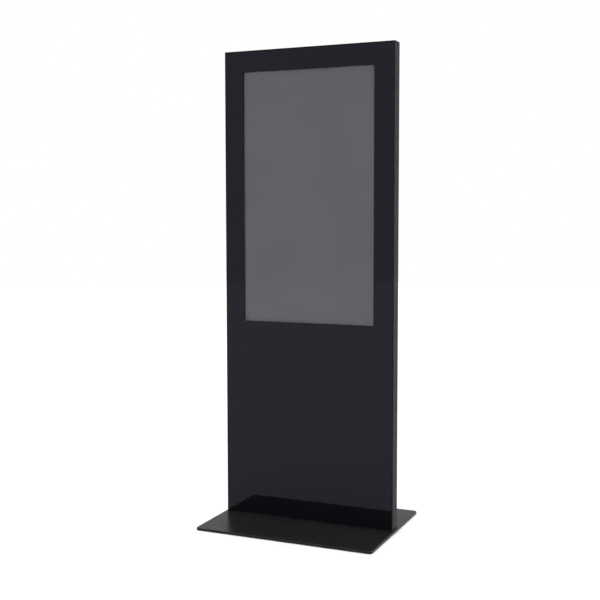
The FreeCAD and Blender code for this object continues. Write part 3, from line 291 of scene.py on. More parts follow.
@dataclass(frozen=True)
class Fibre(Finish):
    """Non-woven polyester mat: crossed fibres, with painted shade in the open gaps between them."""

    fibre_mm: float = 0.7

    def shade(self, tree: Tree, shader: Node, place: Socket) -> None:
        """Shade the mat: two layers of long streaks that cross, laid over loose clumps, with painted shade in
        the gaps.
        """
        streaks = []
        for turn in (0.5, -0.7):
            run = add(tree, "Mapping", {}, {"Vector": place, "Rotation": (0.0, turn, 0.0),
                                            "Scale": (1.0, 1.0, 0.09)})
            streaks.append(noise(tree, run.outputs[0], self.fibre_mm, 3.0))
        crossed = add(tree, "Math", {"operation": "MAXIMUM"}, {0: streaks[0], 1: streaks[1]})
        spread = remap(tree, crossed.outputs[0], 0.45, 0.7)
        raised = add(tree, "Bump", {}, {"Distance": 0.5 * MM, "Height": spread})
        # Painted shade: low, open gaps between the fibres take the dark colour, raised fibres the light one.
        feed(tree, shader, {"Base Color": blend(tree, spread, self.dark, self.light),
                            "Roughness": self.rough[1], "Sheen Weight": 0.3,
                            "Normal": raised.outputs[0]})


class Drawn(Enum):
    """Way that a metal's surface was worked, as the stretch of its marks along X, Y and Z."""

    CAST = (1.0, 1.0, 1.0)
    ALONG_X = (0.03, 1.0, 1.0)
    ALONG_Z = (1.0, 1.0, 0.03)


@dataclass(frozen=True)
class Metal(Finish):
    """Bare or plated metal with the marks of its rolling, drawing or turning."""

    drawn: Drawn = Drawn.CAST
    mark_mm: float = 0.6
    depth_mm: float = 0.006

    def shade(self, tree: Tree, shader: Node, place: Socket) -> None:
        """Shade the metal: cloudy tone, streaked or pitted marks and a lighter tone along the edges."""
        run = add(tree, "Mapping", {}, {"Vector": place, "Scale": self.drawn.value}).outputs[0]
        body = mottled(tree, place, self.dark, self.light, 7.0)
        feed(tree, shader, {
            "Base Color": blend(tree, wear_and_highlight_edges(tree, 0.5), body, self.light),
            "Metallic": 1.0,
            "Roughness": worn_between(tree, run, *self.rough, self.mark_mm * 3),
            "Normal": relief(tree, run, ((self.mark_mm, self.depth_mm),)),
        })


@dataclass(frozen=True)
class Galvanised(Finish):
    """Hot-dip galvanised sheet steel: flat zinc crystals that catch the light one by one."""

    spangle_mm: float = 8.0

    def shade(self, tree: Tree, shader: Node, place: Socket) -> None:
        """Shade the sheet: crystals of several tones with their own gloss, and faint rolling grain."""
        bent = add(tree, "TexNoise", {}, {"Vector": place, "Scale": per_metre(14.0), "Detail": 2.0})
        warped = add(tree, "VectorMath", {"operation": "MULTIPLY_ADD"},
                     {0: bent.outputs[1], 1: (0.006, 0.006, 0.006), 2: place})
        crystals = add(tree, "TexVoronoi", {}, {"Vector": warped.outputs[0],
                                                "Scale": per_metre(self.spangle_mm)})
        tone = add(tree, "SeparateColor", {}, {0: crystals.outputs["Color"]}).outputs
        feed(tree, shader, {"Base Color": blend(tree, tone[0], self.dark, self.light), "Metallic": 1.0,
                            "Roughness": remap(tree, tone[1], 0.0, 1.0, *self.rough),
                            "Normal": relief(tree, place, ((1.2, 0.008),))})


@dataclass(frozen=True)
class SolderMask(Finish):
    """Printed circuit board: copper tracks under green lacquer, with tinned vias."""

    solder: str = "#b9b59c"
    track_mm: float = 3.2
    via_mm: float = 4.6

    def shade(self, tree: Tree, shader: Node, place: Socket) -> None:
        """Shade the board: a net of paler tracks, tinned dots and a wet gloss."""
        net = add(tree, "TexVoronoi", {"feature": "DISTANCE_TO_EDGE"},
                  {"Vector": place, "Scale": per_metre(self.track_mm), "Randomness": 0.55})
        track = remap(tree, net.outputs["Distance"], 0.09, 0.05)
        tracked = blend(tree, track, self.dark, self.light)
        vias = add(tree, "TexVoronoi", {}, {"Vector": place, "Scale": per_metre(self.via_mm),
                                            "Randomness": 0.8})
        dot = remap(tree, vias.outputs["Distance"], 0.12, 0.09)
        raised = add(tree, "Bump", {}, {"Distance": 0.05 * MM, "Height": track})
        feed(tree, shader, {"Base Color": blend(tree, dot, tracked, self.solder),
                            "Roughness": self.rough[0], "Metallic": dot, "Normal": raised.outputs[0]})


@dataclass(frozen=True)
class DisplayFilm(Finish):
    """Polariser of a switched-off display, bonded to the glass: even grey under the glass's mirror."""

    bond: float = 0.35

    def shade(self, tree: Tree, shader: Node, place: Socket) -> None:
        """Shade the film: a trace of cloudiness in its grey and in its dull gloss."""
        feed(tree, shader, {
            "Base Color": mottled(tree, place, self.dark, self.light, 240.0),
            "Roughness": worn_between(tree, place, *self.rough, 90.0),
            "Specular IOR Level": 0.2,
            "Coat Weight": self.bond,
            "Coat Roughness": 0.05,
        })


@dataclass(frozen=True)
class EnamelPrint(Finish):
    """Black ceramic enamel, screen-printed and fired on the back of glass: dense and nearly dull."""

    def shade(self, tree: Tree, shader: Node, place: Socket) -> None:
        """Shade the print: blue-black with the faint mesh of its screen, drawn at 0.8 mm."""
        feed(tree, shader, {
            "Base Color": mottled(tree, place, self.dark, self.light, 60.0),
            "Roughness": worn_between(tree, place, *self.rough, 20.0),
            "Specular IOR Level": 0.0,
            "Normal": relief(tree, place, ((0.8, 0.01),)),
        })


@dataclass(frozen=True)
class ClearSheet(Finish):
    """Clear glass or film: it shows what lies behind it, with a trace of haze and a mirror of the room."""

    haze: float = 0.08
    mirror: float = 1.0

    def shade(self, tree: Tree, shader: Node, place: Socket) -> None:
        """Shade the sheet: nearly see-through, smeared in places where it was wiped."""
        feed(tree, shader, {
            "Base Color": mottled(tree, place, self.dark, self.light, 180.0),
            "Roughness": worn_between(tree, place, *self.rough, 130.0),
            "Alpha": self.haze,
            "Specular IOR Level": self.mirror,
        })


@dataclass(frozen=True)
class BackedGlass(Finish):
    """Glass with black enamel fired on its back: deep black under a smooth, faintly violet mirror."""

    mirror: float = 0.2

    def shade(self, tree: Tree, shader: Node, place: Socket) -> None:
        """Shade the glass: even blue-black, with wipe marks in the gloss alone."""
        feed(tree, shader, {
            "Base Color": mottled(tree, place, self.dark, self.light, 320.0),
            "Roughness": worn_between(tree, place, *self.rough, 130.0),
            "Specular IOR Level": self.mirror,
            "Specular Tint": (0.84, 0.81, 1.0, 1.0),
        })


# Fine-texture powder coat on a laser-cut steel plate: satin black that mirrors the room at low angles; its
# pale, wide edge colour is a painted highlight along the rim, with some rub wear.
PLATE_COAT = PowderCoat("powder_coated_steel_plate", "#1a1b1c", "#1e1f20", (0.28, 0.34), edge="#9a9b9e",
                        gloss=0.07, edge_mm=2.0)
# The same powder on aluminium profiles: a little greyer and duller.
FRAME_COAT = PowderCoat("powder_coated_aluminium", "#19191a", "#1e1e1f", (0.38, 0.46), gloss=0.05)
# The same powder on folded sheet steel: more orange peel across the wide flats.
SHEET_COAT = PowderCoat("powder_coated_sheet_steel", "#18181a", "#202022", (0.36, 0.46), gloss=0.35,
                        peel_mm=6.0)
# Toughened float glass with an anti-reflective coat, where it is clear over the picture.
WINDOW_GLASS = ClearSheet("toughened_coated_glass", "#47484c", "#494a4e", (0.03, 0.06), haze=0.01)
# The same glass over its black border: a violet-black mirror.
BLACK_GLASS = BackedGlass("black_backed_toughened_glass", "#0d0c11", "#0e0d12", (0.02, 0.05))
# Ground edge of the glass: grey-green and dull.
GLASS_EDGE = Moulded("ground_glass_edge", "#1c2423", "#25302e", (0.3, 0.4), grain_mm=0.6)
# Polyester touch film: clear, bonded to the glass, so it mirrors nothing of its own.
TOUCH_FILM = ClearSheet("polyester_touch_film", "#5e5f65", "#616268", (0.2, 0.3), haze=0.005, mirror=0.0)
# Borosilicate tube of the fuse: clear and glossy.
FUSE_GLASS = ClearSheet("borosilicate_fuse_tube", "#9aa6a3", "#b4bfbc", (0.02, 0.05), haze=0.4)
# Fired black enamel behind the glass.
ENAMEL = EnamelPrint("black_ceramic_enamel", "#0c0b10", "#0f0e13", (0.5, 0.6))
# Polariser film over a dark liquid crystal cell, optically bonded: flat grey under one clear mirror.
POLARISER = DisplayFilm("bonded_polariser_film", "#505156", "#535459", (0.42, 0.5))
# Black acrylic foam tape, and the gasket's softer neoprene foam.
TAPE_FOAM = Foam("acrylic_foam_tape", "#121214", "#1d1d1f", (0.85, 0.95))
GASKET_FOAM = Foam("neoprene_foam", "#161617", "#262628", (0.9, 0.98), cell_mm=1.2)
# Moulded rubber of the feet: dull charcoal.
RUBBER = Moulded("moulded_rubber", "#1a1a1a", "#232324", (0.75, 0.85), grain_mm=0.8)
# Polyester filter mat.
FILTER = Fibre("non_woven_polyester_mat", "#5d6063", "#b2b5b6", (0.9, 0.95))
# Galvanised sheet of the trays, rails and the display's back.
GALVANISED = Galvanised("galvanised_sheet_steel", "#a8adb2", "#b8bcc0", (0.36, 0.45))
# Zinc-plated screws and brackets: bluish bright with a turned grain.
ZINC = Metal("zinc_plated_steel", "#a5abb3", "#cfd4da", (0.24, 0.4))
# Black-oxide screws: dark, oily satin.
BLACK_STEEL = Metal("black_oxide_steel", "#1b1c1e", "#303134", (0.36, 0.5))
# Mill-finish aluminium of cleats and heat sinks, with die lines along its length.
MILL_ALUMINIUM = Metal("mill_finish_aluminium", "#b3b6b9", "#d3d5d7", (0.28, 0.42), drawn=Drawn.ALONG_Z)
# Perforated aluminium of the power supply, rolled along its width.
ROLLED_ALUMINIUM = Metal("rolled_aluminium_sheet", "#a9acb0", "#c8cbce", (0.32, 0.46), drawn=Drawn.ALONG_X)
# Bead-blasted, black-anodised aluminium of the media player.
ANODISED = Metal("black_anodised_aluminium", "#202124", "#2b2c30", (0.42, 0.52), mark_mm=0.4, depth_mm=0.01)
# Nickel on zinc die casting: warm, glossy, slightly wavy.
NICKEL = Metal("nickel_plated_zinc", "#b8b2a6", "#d9d4ca", (0.14, 0.24), mark_mm=2.4, depth_mm=0.01)
# Tin, gold and brass of contacts, legs and terminals.
TIN = Metal("tinned_copper", "#b4b5b2", "#d2d3d0", (0.25, 0.4))
GOLD = Metal("gold_plated_bronze", "#d9ab55", "#f0cb7d", (0.16, 0.26))
COPPER = Metal("enamelled_copper_wire", "#8e4a26", "#b56a3c", (0.25, 0.35))
# Circuit board lacquer.
MASK = SolderMask("green_solder_mask", "#0e4a2c", "#1c6a41", (0.28, 0.32))
# Glass-filled nylon of fans, inlet and fuse drawer: black with a fine moulded grain.
BLACK_NYLON = Moulded("glass_filled_nylon", "#141415", "#1e1e20", (0.42, 0.55))
# Polycarbonate of the rocker and the push button: glossier black.
BLACK_PC = Moulded("black_polycarbonate", "#0f0f10", "#161617", (0.24, 0.32), grain_mm=0.7, depth_mm=0.008)
# Chip epoxy: dull charcoal with a laser-etched dullness.
EPOXY = Moulded("moulded_epoxy", "#191a1c", "#232427", (0.55, 0.68), grain_mm=0.4)
# Ceramic of small resistors and capacitors.
CERAMIC = Moulded("fired_ceramic", "#4a3826", "#75603f", (0.4, 0.55), grain_mm=0.3)
# Ferrite cores.
FERRITE = Moulded("sintered_ferrite", "#2b2b2d", "#39393b", (0.6, 0.75), grain_mm=0.4)
# Polyester tape on the transformer.
AMBER_TAPE = Moulded("polyester_winding_tape", "#b8912a", "#d2ab3f", (0.3, 0.4), grain_mm=1.2, soft=0.1)
# White nylon connectors and natural nylon clips: waxy and slightly see-through.
WHITE_NYLON = Moulded("white_nylon", "#d8d6cc", "#e8e6dd", (0.4, 0.5), soft=0.2)
# Plastic marks printed or inlaid on the rocker.
WHITE_MARK = Moulded("white_inlay", "#c9c9c6", "#dcdcd9", (0.4, 0.5))
# PVC jackets of the leads: satin black and grey, with drawing marks.
BLACK_PVC = Moulded("black_pvc_jacket", "#161617", "#212123", (0.4, 0.52), grain_mm=1.1)
GREY_PVC = Moulded("grey_pvc_jacket", "#77797c", "#8c8e91", (0.42, 0.54), grain_mm=1.1)
# Cast acrylic of the light guide, with its white sheets.
ACRYLIC = Moulded("opal_acrylic", "#d3d6d6", "#e4e6e6", (0.1, 0.18), grain_mm=4.0, depth_mm=0.004, soft=0.3)
# Tinted plastic of the running lamp.
LAMP = Moulded("green_lamp_resin", "#2f8f46", "#48b463", (0.15, 0.22), soft=0.4)


# ------------------------------------------------------------------ mesh tools
class Aim(Enum):
    """Way that a part's own Z axis points once it is placed, as an angle and the axis it turns about."""

    REAR = (-90.0, "X")
    RIGHT = (90.0, "Y")

    def at(self, x: float, y: float, z: float) -> Matrix:
        """Matrix that aims a part and puts its origin at a point."""
        angle, axis = self.value
        return Matrix.Translation((x, y, z)) @ Matrix.Rotation(math.radians(angle), 4, axis)


def round_edges(part: bmesh.types.BMesh, edges: list, width: float, steps: int = 3) -> None:
    """Round some of a part's edges with bevels of this width."""
    bmesh.ops.bevel(part, geom=edges, offset=width, affect="EDGES", segments=steps, profile=0.5, material=-1)


def measured(node: str) -> tuple[Vector, Vector, float, float]:
    """Lowest and highest corner of a CAD node, and its middle across and up."""
    low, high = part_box(node)
    return low, high, (low.x + high.x) / 2, (low.z + high.z) / 2


def bar(low: Vector | tuple, high: Vector | tuple, soften: float = 0.0, steps: int = 2) -> bmesh.types.BMesh:
    """Box between two corners, with softened edges.

    Args:
        low: Lowest corner.
        high: Highest corner.
        soften: Width of the edge bevels, or 0 for sharp edges.
        steps: Segments of each bevel.

    Returns:
        The part's bmesh.
    """
    part = bmesh.new()
    low, high = Vector(low), Vector(high)
    bmesh.ops.create_cube(part, size=1.0)
    bmesh.ops.scale(part, vec=high - low, verts=part.verts)
    bmesh.ops.translate(part, vec=(low + high) / 2, verts=part.verts)
    if soften > 0:
        round_edges(part, part.edges[:], soften, steps)
    return part


def turned(outline: list[tuple[float, float]], sides: int = 32) -> bmesh.types.BMesh:
    """Solid of revolution about Z.

    Args:
        outline: Radius and height of each point in millimetres, from one pole or rim to the other.
        sides: Faces round the axis.

    Returns:
        The part's bmesh.
    """
    part = bmesh.new()
    points = [part.verts.new((radius * MM, 0.0, height * MM)) for radius, height in outline]
    edges = [part.edges.new(pair) for pair in zip(points, points[1:])]
    bmesh.ops.spin(part, geom=points + edges, cent=(0, 0, 0), axis=(0, 0, 1), angle=math.tau,
                   steps=sides, use_merge=True)
    bmesh.ops.remove_doubles(part, verts=part.verts, dist=TOUCHING)
    return part


def disc(radius: float, height: float, sides: int = 28) -> bmesh.types.BMesh:
    """Cylinder of this radius and height in millimetres, standing on height 0."""
    return turned([(0, 0), (radius, 0), (radius, height), (0, height)], sides)


def ring(radius: float, height: float, corners: int = 0, sides: int = 24) -> list[Vector]:
    """Points of a level ring drawn in millimetres, round or with flat sides.

    Args:
        radius: Radius, or the reach to a flat side where there are corners.
        height: Height of the ring.
        corners: Number of flat sides, or 0 for a round ring.
        sides: Number of points.

    Returns:
        The points in order.
    """
    points = []
    for step in range(sides):
        angle = math.tau * step / sides
        reach = radius
        if corners:
            sector = math.tau / corners
            reach = radius / math.cos((angle % sector) - sector / 2)
        points.append(Vector((reach * math.cos(angle) * MM, reach * math.sin(angle) * MM, height * MM)))
    return points


def lofted(rings: list[list[Vector]]) -> bmesh.types.BMesh:
    """Closed skin over rings of equal point counts, with both ends filled.

    Args:
        rings: Rings of points from one end to the other.

    Returns:
        The part's bmesh.
    """
    part = bmesh.new()
    before: list = []
    for points in rings:
        verts = [part.verts.new(point) for point in points]
        edges = [part.edges.new(pair) for pair in zip(verts, verts[1:] + verts[:1])]
        if before:
            bmesh.ops.bridge_loops(part, edges=before + edges)
        before = edges
        if points is rings[0] or points is rings[-1]:
            bmesh.ops.contextual_create(part, geom=edges)
    return part


def button_screw(radius: float, height: float) -> bmesh.types.BMesh:
    """Domed screw head with a hexagon socket; its seat is at height 0."""
    flat = radius * 0.42
    socket = radius * 0.36
    return lofted([
        ring(radius, 0.0), ring(radius, height * 0.18), ring(radius * 0.94, height * 0.5),
        ring(radius * 0.76, height * 0.84), ring(flat * 1.15, height), ring(socket, height, 6),
        ring(socket * 0.96, height * 0.3, 6)])


def pan_screw(radius: float, height: float) -> bmesh.types.BMesh:
    """Low round screw head with a four-cornered socket; its seat is at height 0."""
    return lofted([
        ring(radius, 0.0), ring(radius, height * 0.45), ring(radius * 0.86, height * 0.88),
        ring(radius * 0.6, height), ring(radius * 0.3, height, 4), ring(radius * 0.2, height * 0.45, 4)])


@dataclass
class Piece:
    """A mesh being put together from parts, each painted with its finish."""

    name: str
    body: str = "root"
    mesh: bmesh.types.BMesh = field(default_factory=bmesh.new)
    finishes: list[Finish] = field(default_factory=list)

    def put(self, part: bmesh.types.BMesh, finish: Finish, place: Matrix = Matrix.Identity(4)) -> None:
        """Move a part into the piece.

        Args:
            part: The part's bmesh, which is used up.
            finish: What the part is made of.
            place: Where the part goes.
        """
        if finish not in self.finishes:
            self.finishes.append(finish)
        for face in part.faces:
            face.material_index = self.finishes.index(finish)
        part.transform(place)
        self.take(part)

    def take(self, part: bmesh.types.BMesh) -> None:
        """Join a part, already painted and in place, to the piece; the part is used up."""
        bmesh.ops.recalc_face_normals(part, faces=part.faces)
        for face in part.faces:
            face.smooth = True
        carried = bpy.data.meshes.new("part")
        part.to_mesh(carried)
        part.free()
        self.mesh.from_mesh(carried)
        bpy.data.meshes.remove(carried)

    def done(self, slot: str, *nodes: str) -> bpy.types.Object:
        """Close the piece and hang it on its body.

        Args:
            slot: Material slot in the record; not used.
            nodes: CAD nodes that it stands for.

        Returns:
            The finished object.
        """
        for edge in self.mesh.edges:
            edge.smooth = edge.calc_face_angle(0.0) < SHARP_EDGE
        data = bpy.data.meshes.new(self.name)
        self.mesh.to_mesh(data)
        self.mesh.free()
        for finish in self.finishes:
            data.materials.append(finish.material())
        piece = bpy.data.objects.new(self.name, data)
        bpy.context.scene.collection.objects.link(piece)
        flats = piece.modifiers.new("flat_faces_lead", "WEIGHTED_NORMAL")
        flats.keep_sharp = True
        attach(piece, self.body)
        if nodes:
            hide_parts(*nodes)
        LOG.info("piece %s: %d faces on %s", self.name, len(data.polygons), self.body)
        return piece


def dress(finish: Finish, *nodes: str) -> None:
    """Give carried-over CAD nodes a finish.

    Args:
        finish: What the nodes are made of.
        nodes: Names of the nodes.
    """
    for name in nodes:
        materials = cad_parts[name].data.materials
        materials.clear()
        materials.append(finish.material())
        LOG.info("node %s: %s", name, finish.name)


# ------------------------------------------------------------------ sub-assemblies
@dataclass
class FloorPlate:
    """The steel plate that the kiosk stands on, with its feet and brackets."""

    def build(self) -> None:
        """Dress the plate, its rubber feet, screws and brackets."""
        dress(PLATE_COAT, "base_plate")
        dress(RUBBER, "foot_pads")
        dress(ZINC, "base_screws")
        dress(GALVANISED, "foot_brackets")


@dataclass
class Cabinet:
    """The mitred profile frame."""

    def build(self) -> None:
        """Dress the profiles, corner cleats and their screws."""
        dress(FRAME_COAT, "frame_left", "frame_right", "frame_top", "frame_bottom")
        dress(MILL_ALUMINIUM, "corner_cleats")
        dress(BLACK_STEEL, "cleat_screws")
        dress(ZINC, "ledge_screws")


@dataclass
class Glazing:
    """The front pane, black-backed but for its window, with its tape and touch film."""

    film_overlap: float = 10 * MM
    edge_soften: float = 0.5 * MM
    corner: float = 1.5 * MM
    window_height: float = 933 * MM

    def pane(self) -> None:
        """The pane: one softened slab, parted along the window so that each zone has its finish."""
        low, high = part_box("front_glass")
        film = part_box("touch_sensor")[1]
        half_x = film.x - self.film_overlap
        top = film.z - self.film_overlap
        bottom = top - self.window_height
        slab = bar(low, high)
        corners = [edge for edge in slab.edges if abs(edge.verts[0].co.y - edge.verts[1].co.y) > TOUCHING]
        round_edges(slab, corners, self.corner, 5)
        front = [edge for edge in slab.edges if all(vert.co.y < low.y + TOUCHING for vert in edge.verts)]
        round_edges(slab, front, self.edge_soften)
        for place, way in (((half_x, 0, 0), (1, 0, 0)), ((-half_x, 0, 0), (1, 0, 0)),
                           ((0, 0, top), (0, 0, 1)), ((0, 0, bottom), (0, 0, 1))):
            bmesh.ops.bisect_plane(slab, geom=slab.verts[:] + slab.edges[:] + slab.faces[:],
                                   plane_co=place, plane_no=way)
        piece = Piece("front_pane", finishes=[WINDOW_GLASS, BLACK_GLASS, ENAMEL, GLASS_EDGE])
        for face in slab.faces:
            middle = face.calc_center_median()
            if abs(middle.x) < half_x and bottom < middle.z < top:
                finish = WINDOW_GLASS
            elif middle.y < (low.y + high.y) / 2 and face.normal.y < -0.5:
                finish = BLACK_GLASS
            else:
                finish = ENAMEL if face.normal.y > 0.5 else GLASS_EDGE
            face.material_index = piece.finishes.index(finish)
        piece.take(slab)
        piece.done("black_glass", "front_glass")

    def build(self) -> None:
        """Make the pane, and dress the film and tape."""
        self.pane()
        dress(TOUCH_FILM, "touch_sensor")
        dress(TAPE_FOAM, "glass_tape")


@dataclass
class CircuitBoard:
    """A populated board on posts, its parts facing the rear; measures are in millimetres from its middle."""

    node: str
    seed: int
    post: float = 3.0
    board: float = 1.6
    post_inset: float = 7.0
    pad: float = 0.1
    grid: float = 2.4
    piece: Piece = field(init=False)

    def __post_init__(self) -> None:
        """Measure the CAD board and start the piece."""
        self.low, self.high, self.x, self.z = measured(self.node)
        self.face = self.low.y + (self.post + self.board) * MM
        self.piece = Piece(self.node + "_populated")
        self.draw = random.Random(self.seed)

    def stand(self, part: bmesh.types.BMesh, finish: Finish, x: float, z: float, lift: float = 0.0) -> None:
        """Stand a part on the board, or this far off it."""
        self.piece.put(part, finish, Aim.REAR.at(self.x + x * MM, self.face + lift * MM, self.z + z * MM))

    def lay_board(self) -> None:
        """The board with softened edges, on four posts with screws."""
        low, high = self.low.copy(), self.high.copy()
        low.y, high.y = self.face - self.board * MM, self.face
        self.piece.put(bar(low, high, 0.25 * MM, 1), MASK)
        for side_x in (-1, 1):
            for side_z in (-1, 1):
                x = side_x * ((high.x - self.x) / MM - self.post_inset)
                z = side_z * ((high.z - self.z) / MM - self.post_inset)
                post = lofted([ring(2.6, 0, 6), ring(2.6, self.post, 6)])
                self.stand(post, ZINC, x, z, -self.post - self.board)
                self.stand(disc(3.6, self.pad, 20), TIN, x, z)
                self.stand(pan_screw(2.7, 1.7), ZINC, x, z, self.pad)

    def block(self, x: float, z: float, size: tuple[float, float, float], finish: Finish,
              soften: float = 0.3, lift: float = 0.0) -> None:
        """One box-shaped component.

        Args:
            x: Centre across the board.
            z: Centre up the board.
            size: Width, height along the board, and how far it stands off the board.
            finish: What it is made of.
            soften: Edge bevel.
            lift: Gap under it.
        """
        x, z, start = self.x + x * MM, self.z + z * MM, self.face + lift * MM
        wide, tall, deep = (length * MM for length in size)
        self.piece.put(bar((x - wide / 2, start, z - tall / 2), (x + wide / 2, start + deep, z + tall / 2),
                           soften * MM), finish)

    def chip(self, x: float, z: float, width: float, height: float, pitch: float = 1.6) -> None:
        """A chip with bent legs along its two long sides.

        Args:
            x: Centre across the board.
            z: Centre up the board.
            width: Body width between the rows of legs.
            height: Body length along the rows.
            pitch: Leg spacing, coarser than a real one so that the legs show.
        """
        self.block(x, z, (width, height, 1.6), EPOXY, 0.25, 0.15)
        count = max(2, int(height / pitch) - 1)
        for side in (-1, 1):
            for step in range(count):
                along = z + (step - (count - 1) / 2) * pitch
                self.block(x + side * (width / 2 + 0.6), along, (1.6, pitch * 0.45, 0.3), TIN, 0.0)
        self.stand(disc(0.6, 0.02, 12), CERAMIC, x - width / 3, z + height / 3, 1.75)

    def capacitor(self, x: float, z: float, radius: float, height: float) -> None:
        """An electrolytic can on its base, with a rolled rim and a scored top."""
        self.block(x, z, (radius * 2.1, radius * 2.1, 0.9), BLACK_NYLON)
        can = turned([(0, 0.9), (radius, 0.9), (radius, 1.6), (radius * 0.93, 1.9), (radius, 2.3),
                      (radius, height - 0.8), (radius * 0.92, height - 0.2), (radius * 0.8, height),
                      (radius * 0.74, height - 0.3), (0, height - 0.3)], 28)
        self.stand(can, ROLLED_ALUMINIUM, x, z)

    def coil(self, x: float, z: float, side: float, height: float) -> None:
        """A shielded coil: a ferrite block with a round lid and copper showing round it."""
        self.block(x, z, (side, side, height * 0.8), FERRITE, 1.0)
        self.stand(disc(side * 0.4, height * 0.9), COPPER, x, z)
        lid = turned([(0, height * 0.9), (side * 0.36, height * 0.9), (side * 0.36, height - 0.2),
                      (side * 0.33, height), (0, height)], 28)
        self.stand(lid, FERRITE, x, z)

    def header(self, x: float, z: float, count: int, pitch: float, deep: float) -> None:
        """A white socket with a row of pins."""
        self.block(x, z, (count * pitch + 2, 5.6, deep), WHITE_NYLON, 0.4)
        for step in range(count):
            across = x + (step - (count - 1) / 2) * pitch
            self.block(across, z - 0.4, (0.6, 0.6, deep + 0.5), TIN, 0.0)

    def scatter(self, count: int, low: tuple[float, float], high: tuple[float, float]) -> None:
        """Small resistors and capacitors in loose rows.

        Args:
            count: How many.
            low: Lowest place across and up the board.
            high: Highest place.
        """
        for _ in range(count):
            x, z = (round(self.draw.uniform(*span) / self.grid) * self.grid for span in zip(low, high))
            across = self.draw.random() < 0.5
            body, ends = ((1.1, 1.0), (1.9, 0.9)) if across else ((1.0, 1.1), (0.9, 1.9))
            finish = CERAMIC if self.draw.random() < 0.6 else EPOXY
            self.block(x, z, (*ends, 0.5), TIN, 0.0)
            self.block(x, z, (*body, 0.58), finish, 0.0)


@dataclass
class DisplayModule:
    """The switched-off display: bezel, cell, light guide, chassis, rails and its two boards."""

    screw_columns: tuple[float, ...] = (-0.262, 0.262)
    screw_rows: int = 7
    screw_inset: float = 30 * MM
    rib_height: float = 1.5 * MM

    def controller(self) -> None:
        """The display's controller board, with a finned heat sink over its main chip."""
        board = CircuitBoard("scaler_board", seed=3)
        board.lay_board()
        board.block(0, 10, (44, 44, 3), EPOXY)
        board.block(0, 10, (42, 42, 2), MILL_ALUMINIUM, 0.4, 3)
        for step in range(11):
            across = (step - 5) * 4
            board.block(across, 10, (1.2, 42, 5.4), MILL_ALUMINIUM, 0.3, 4.6)
        board.chip(-60, 5, 22, 20)
        board.chip(56, 17, 24, 24)
        board.chip(56, -16, 9, 12)
        board.chip(-66, 34, 10, 12)
        for x in (-30, -18, 30, 42):
            board.capacitor(x, -34, 3.8, 8.6)
        board.block(-60, -53, (16, 14, 7), NICKEL, 0.5)
        board.block(55, -54, (14, 12, 8), WHITE_NYLON, 0.5)
        board.header(0, 52, 20, 2, 4.5)
        board.header(-40, -54, 5, 2, 4.5)
        board.scatter(60, (-85, -26), (-30, 48))
        board.scatter(60, (28, -46), (84, 50))
        board.scatter(30, (-26, -48), (26, -20))
        board.piece.done("circuit_board", "scaler_board")

    def driver(self) -> None:
        """The backlight driver, with its transformer, coils and capacitors."""
        board = CircuitBoard("backlight_driver", seed=5)
        board.lay_board()
        board.block(-34, -2, (32, 30, 7), FERRITE, 0.8)
        board.block(-34, -2, (24, 33, 6), AMBER_TAPE, 1.0)
        board.block(-34, -2, (12, 31, 9.4), FERRITE, 0.8)
        for x in (2, 20, 38):
            board.capacitor(x, 20, 5.8, 9)
        for x in (3, 23, 43):
            board.coil(x, -21, 13, 7)
        board.header(57, 1, 6, 2.4, 6)
        board.chip(60, 24, 8, 12)
        board.scatter(26, (-60, -38), (64, -32))
        board.scatter(30, (-8, -10), (44, 8))
        board.piece.done("circuit_board", "backlight_driver")

    def chassis_screws(self) -> None:
        """Rows of screws down both edges of the display's back."""
        low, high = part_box("lcd_chassis")
        piece = Piece("chassis_screws")
        gap = (high.z - low.z - 2 * self.screw_inset) / (self.screw_rows - 1)
        for x in self.screw_columns:
            for row in range(self.screw_rows):
                place = Aim.REAR.at(x, high.y - self.rib_height, low.z + self.screw_inset + row * gap)
                piece.put(pan_screw(3.2, 1.8), ZINC, place)
        piece.done("zinc_screw")

    def build(self) -> None:
        """Dress the display's sheets and make its boards and screws."""
        dress(GALVANISED, "lcd_bezel", "lcd_chassis", "lcd_rails")
        dress(POLARISER, "lcd_cell")
        dress(ACRYLIC, "light_guide")
        self.controller()
        self.driver()
        self.chassis_screws()


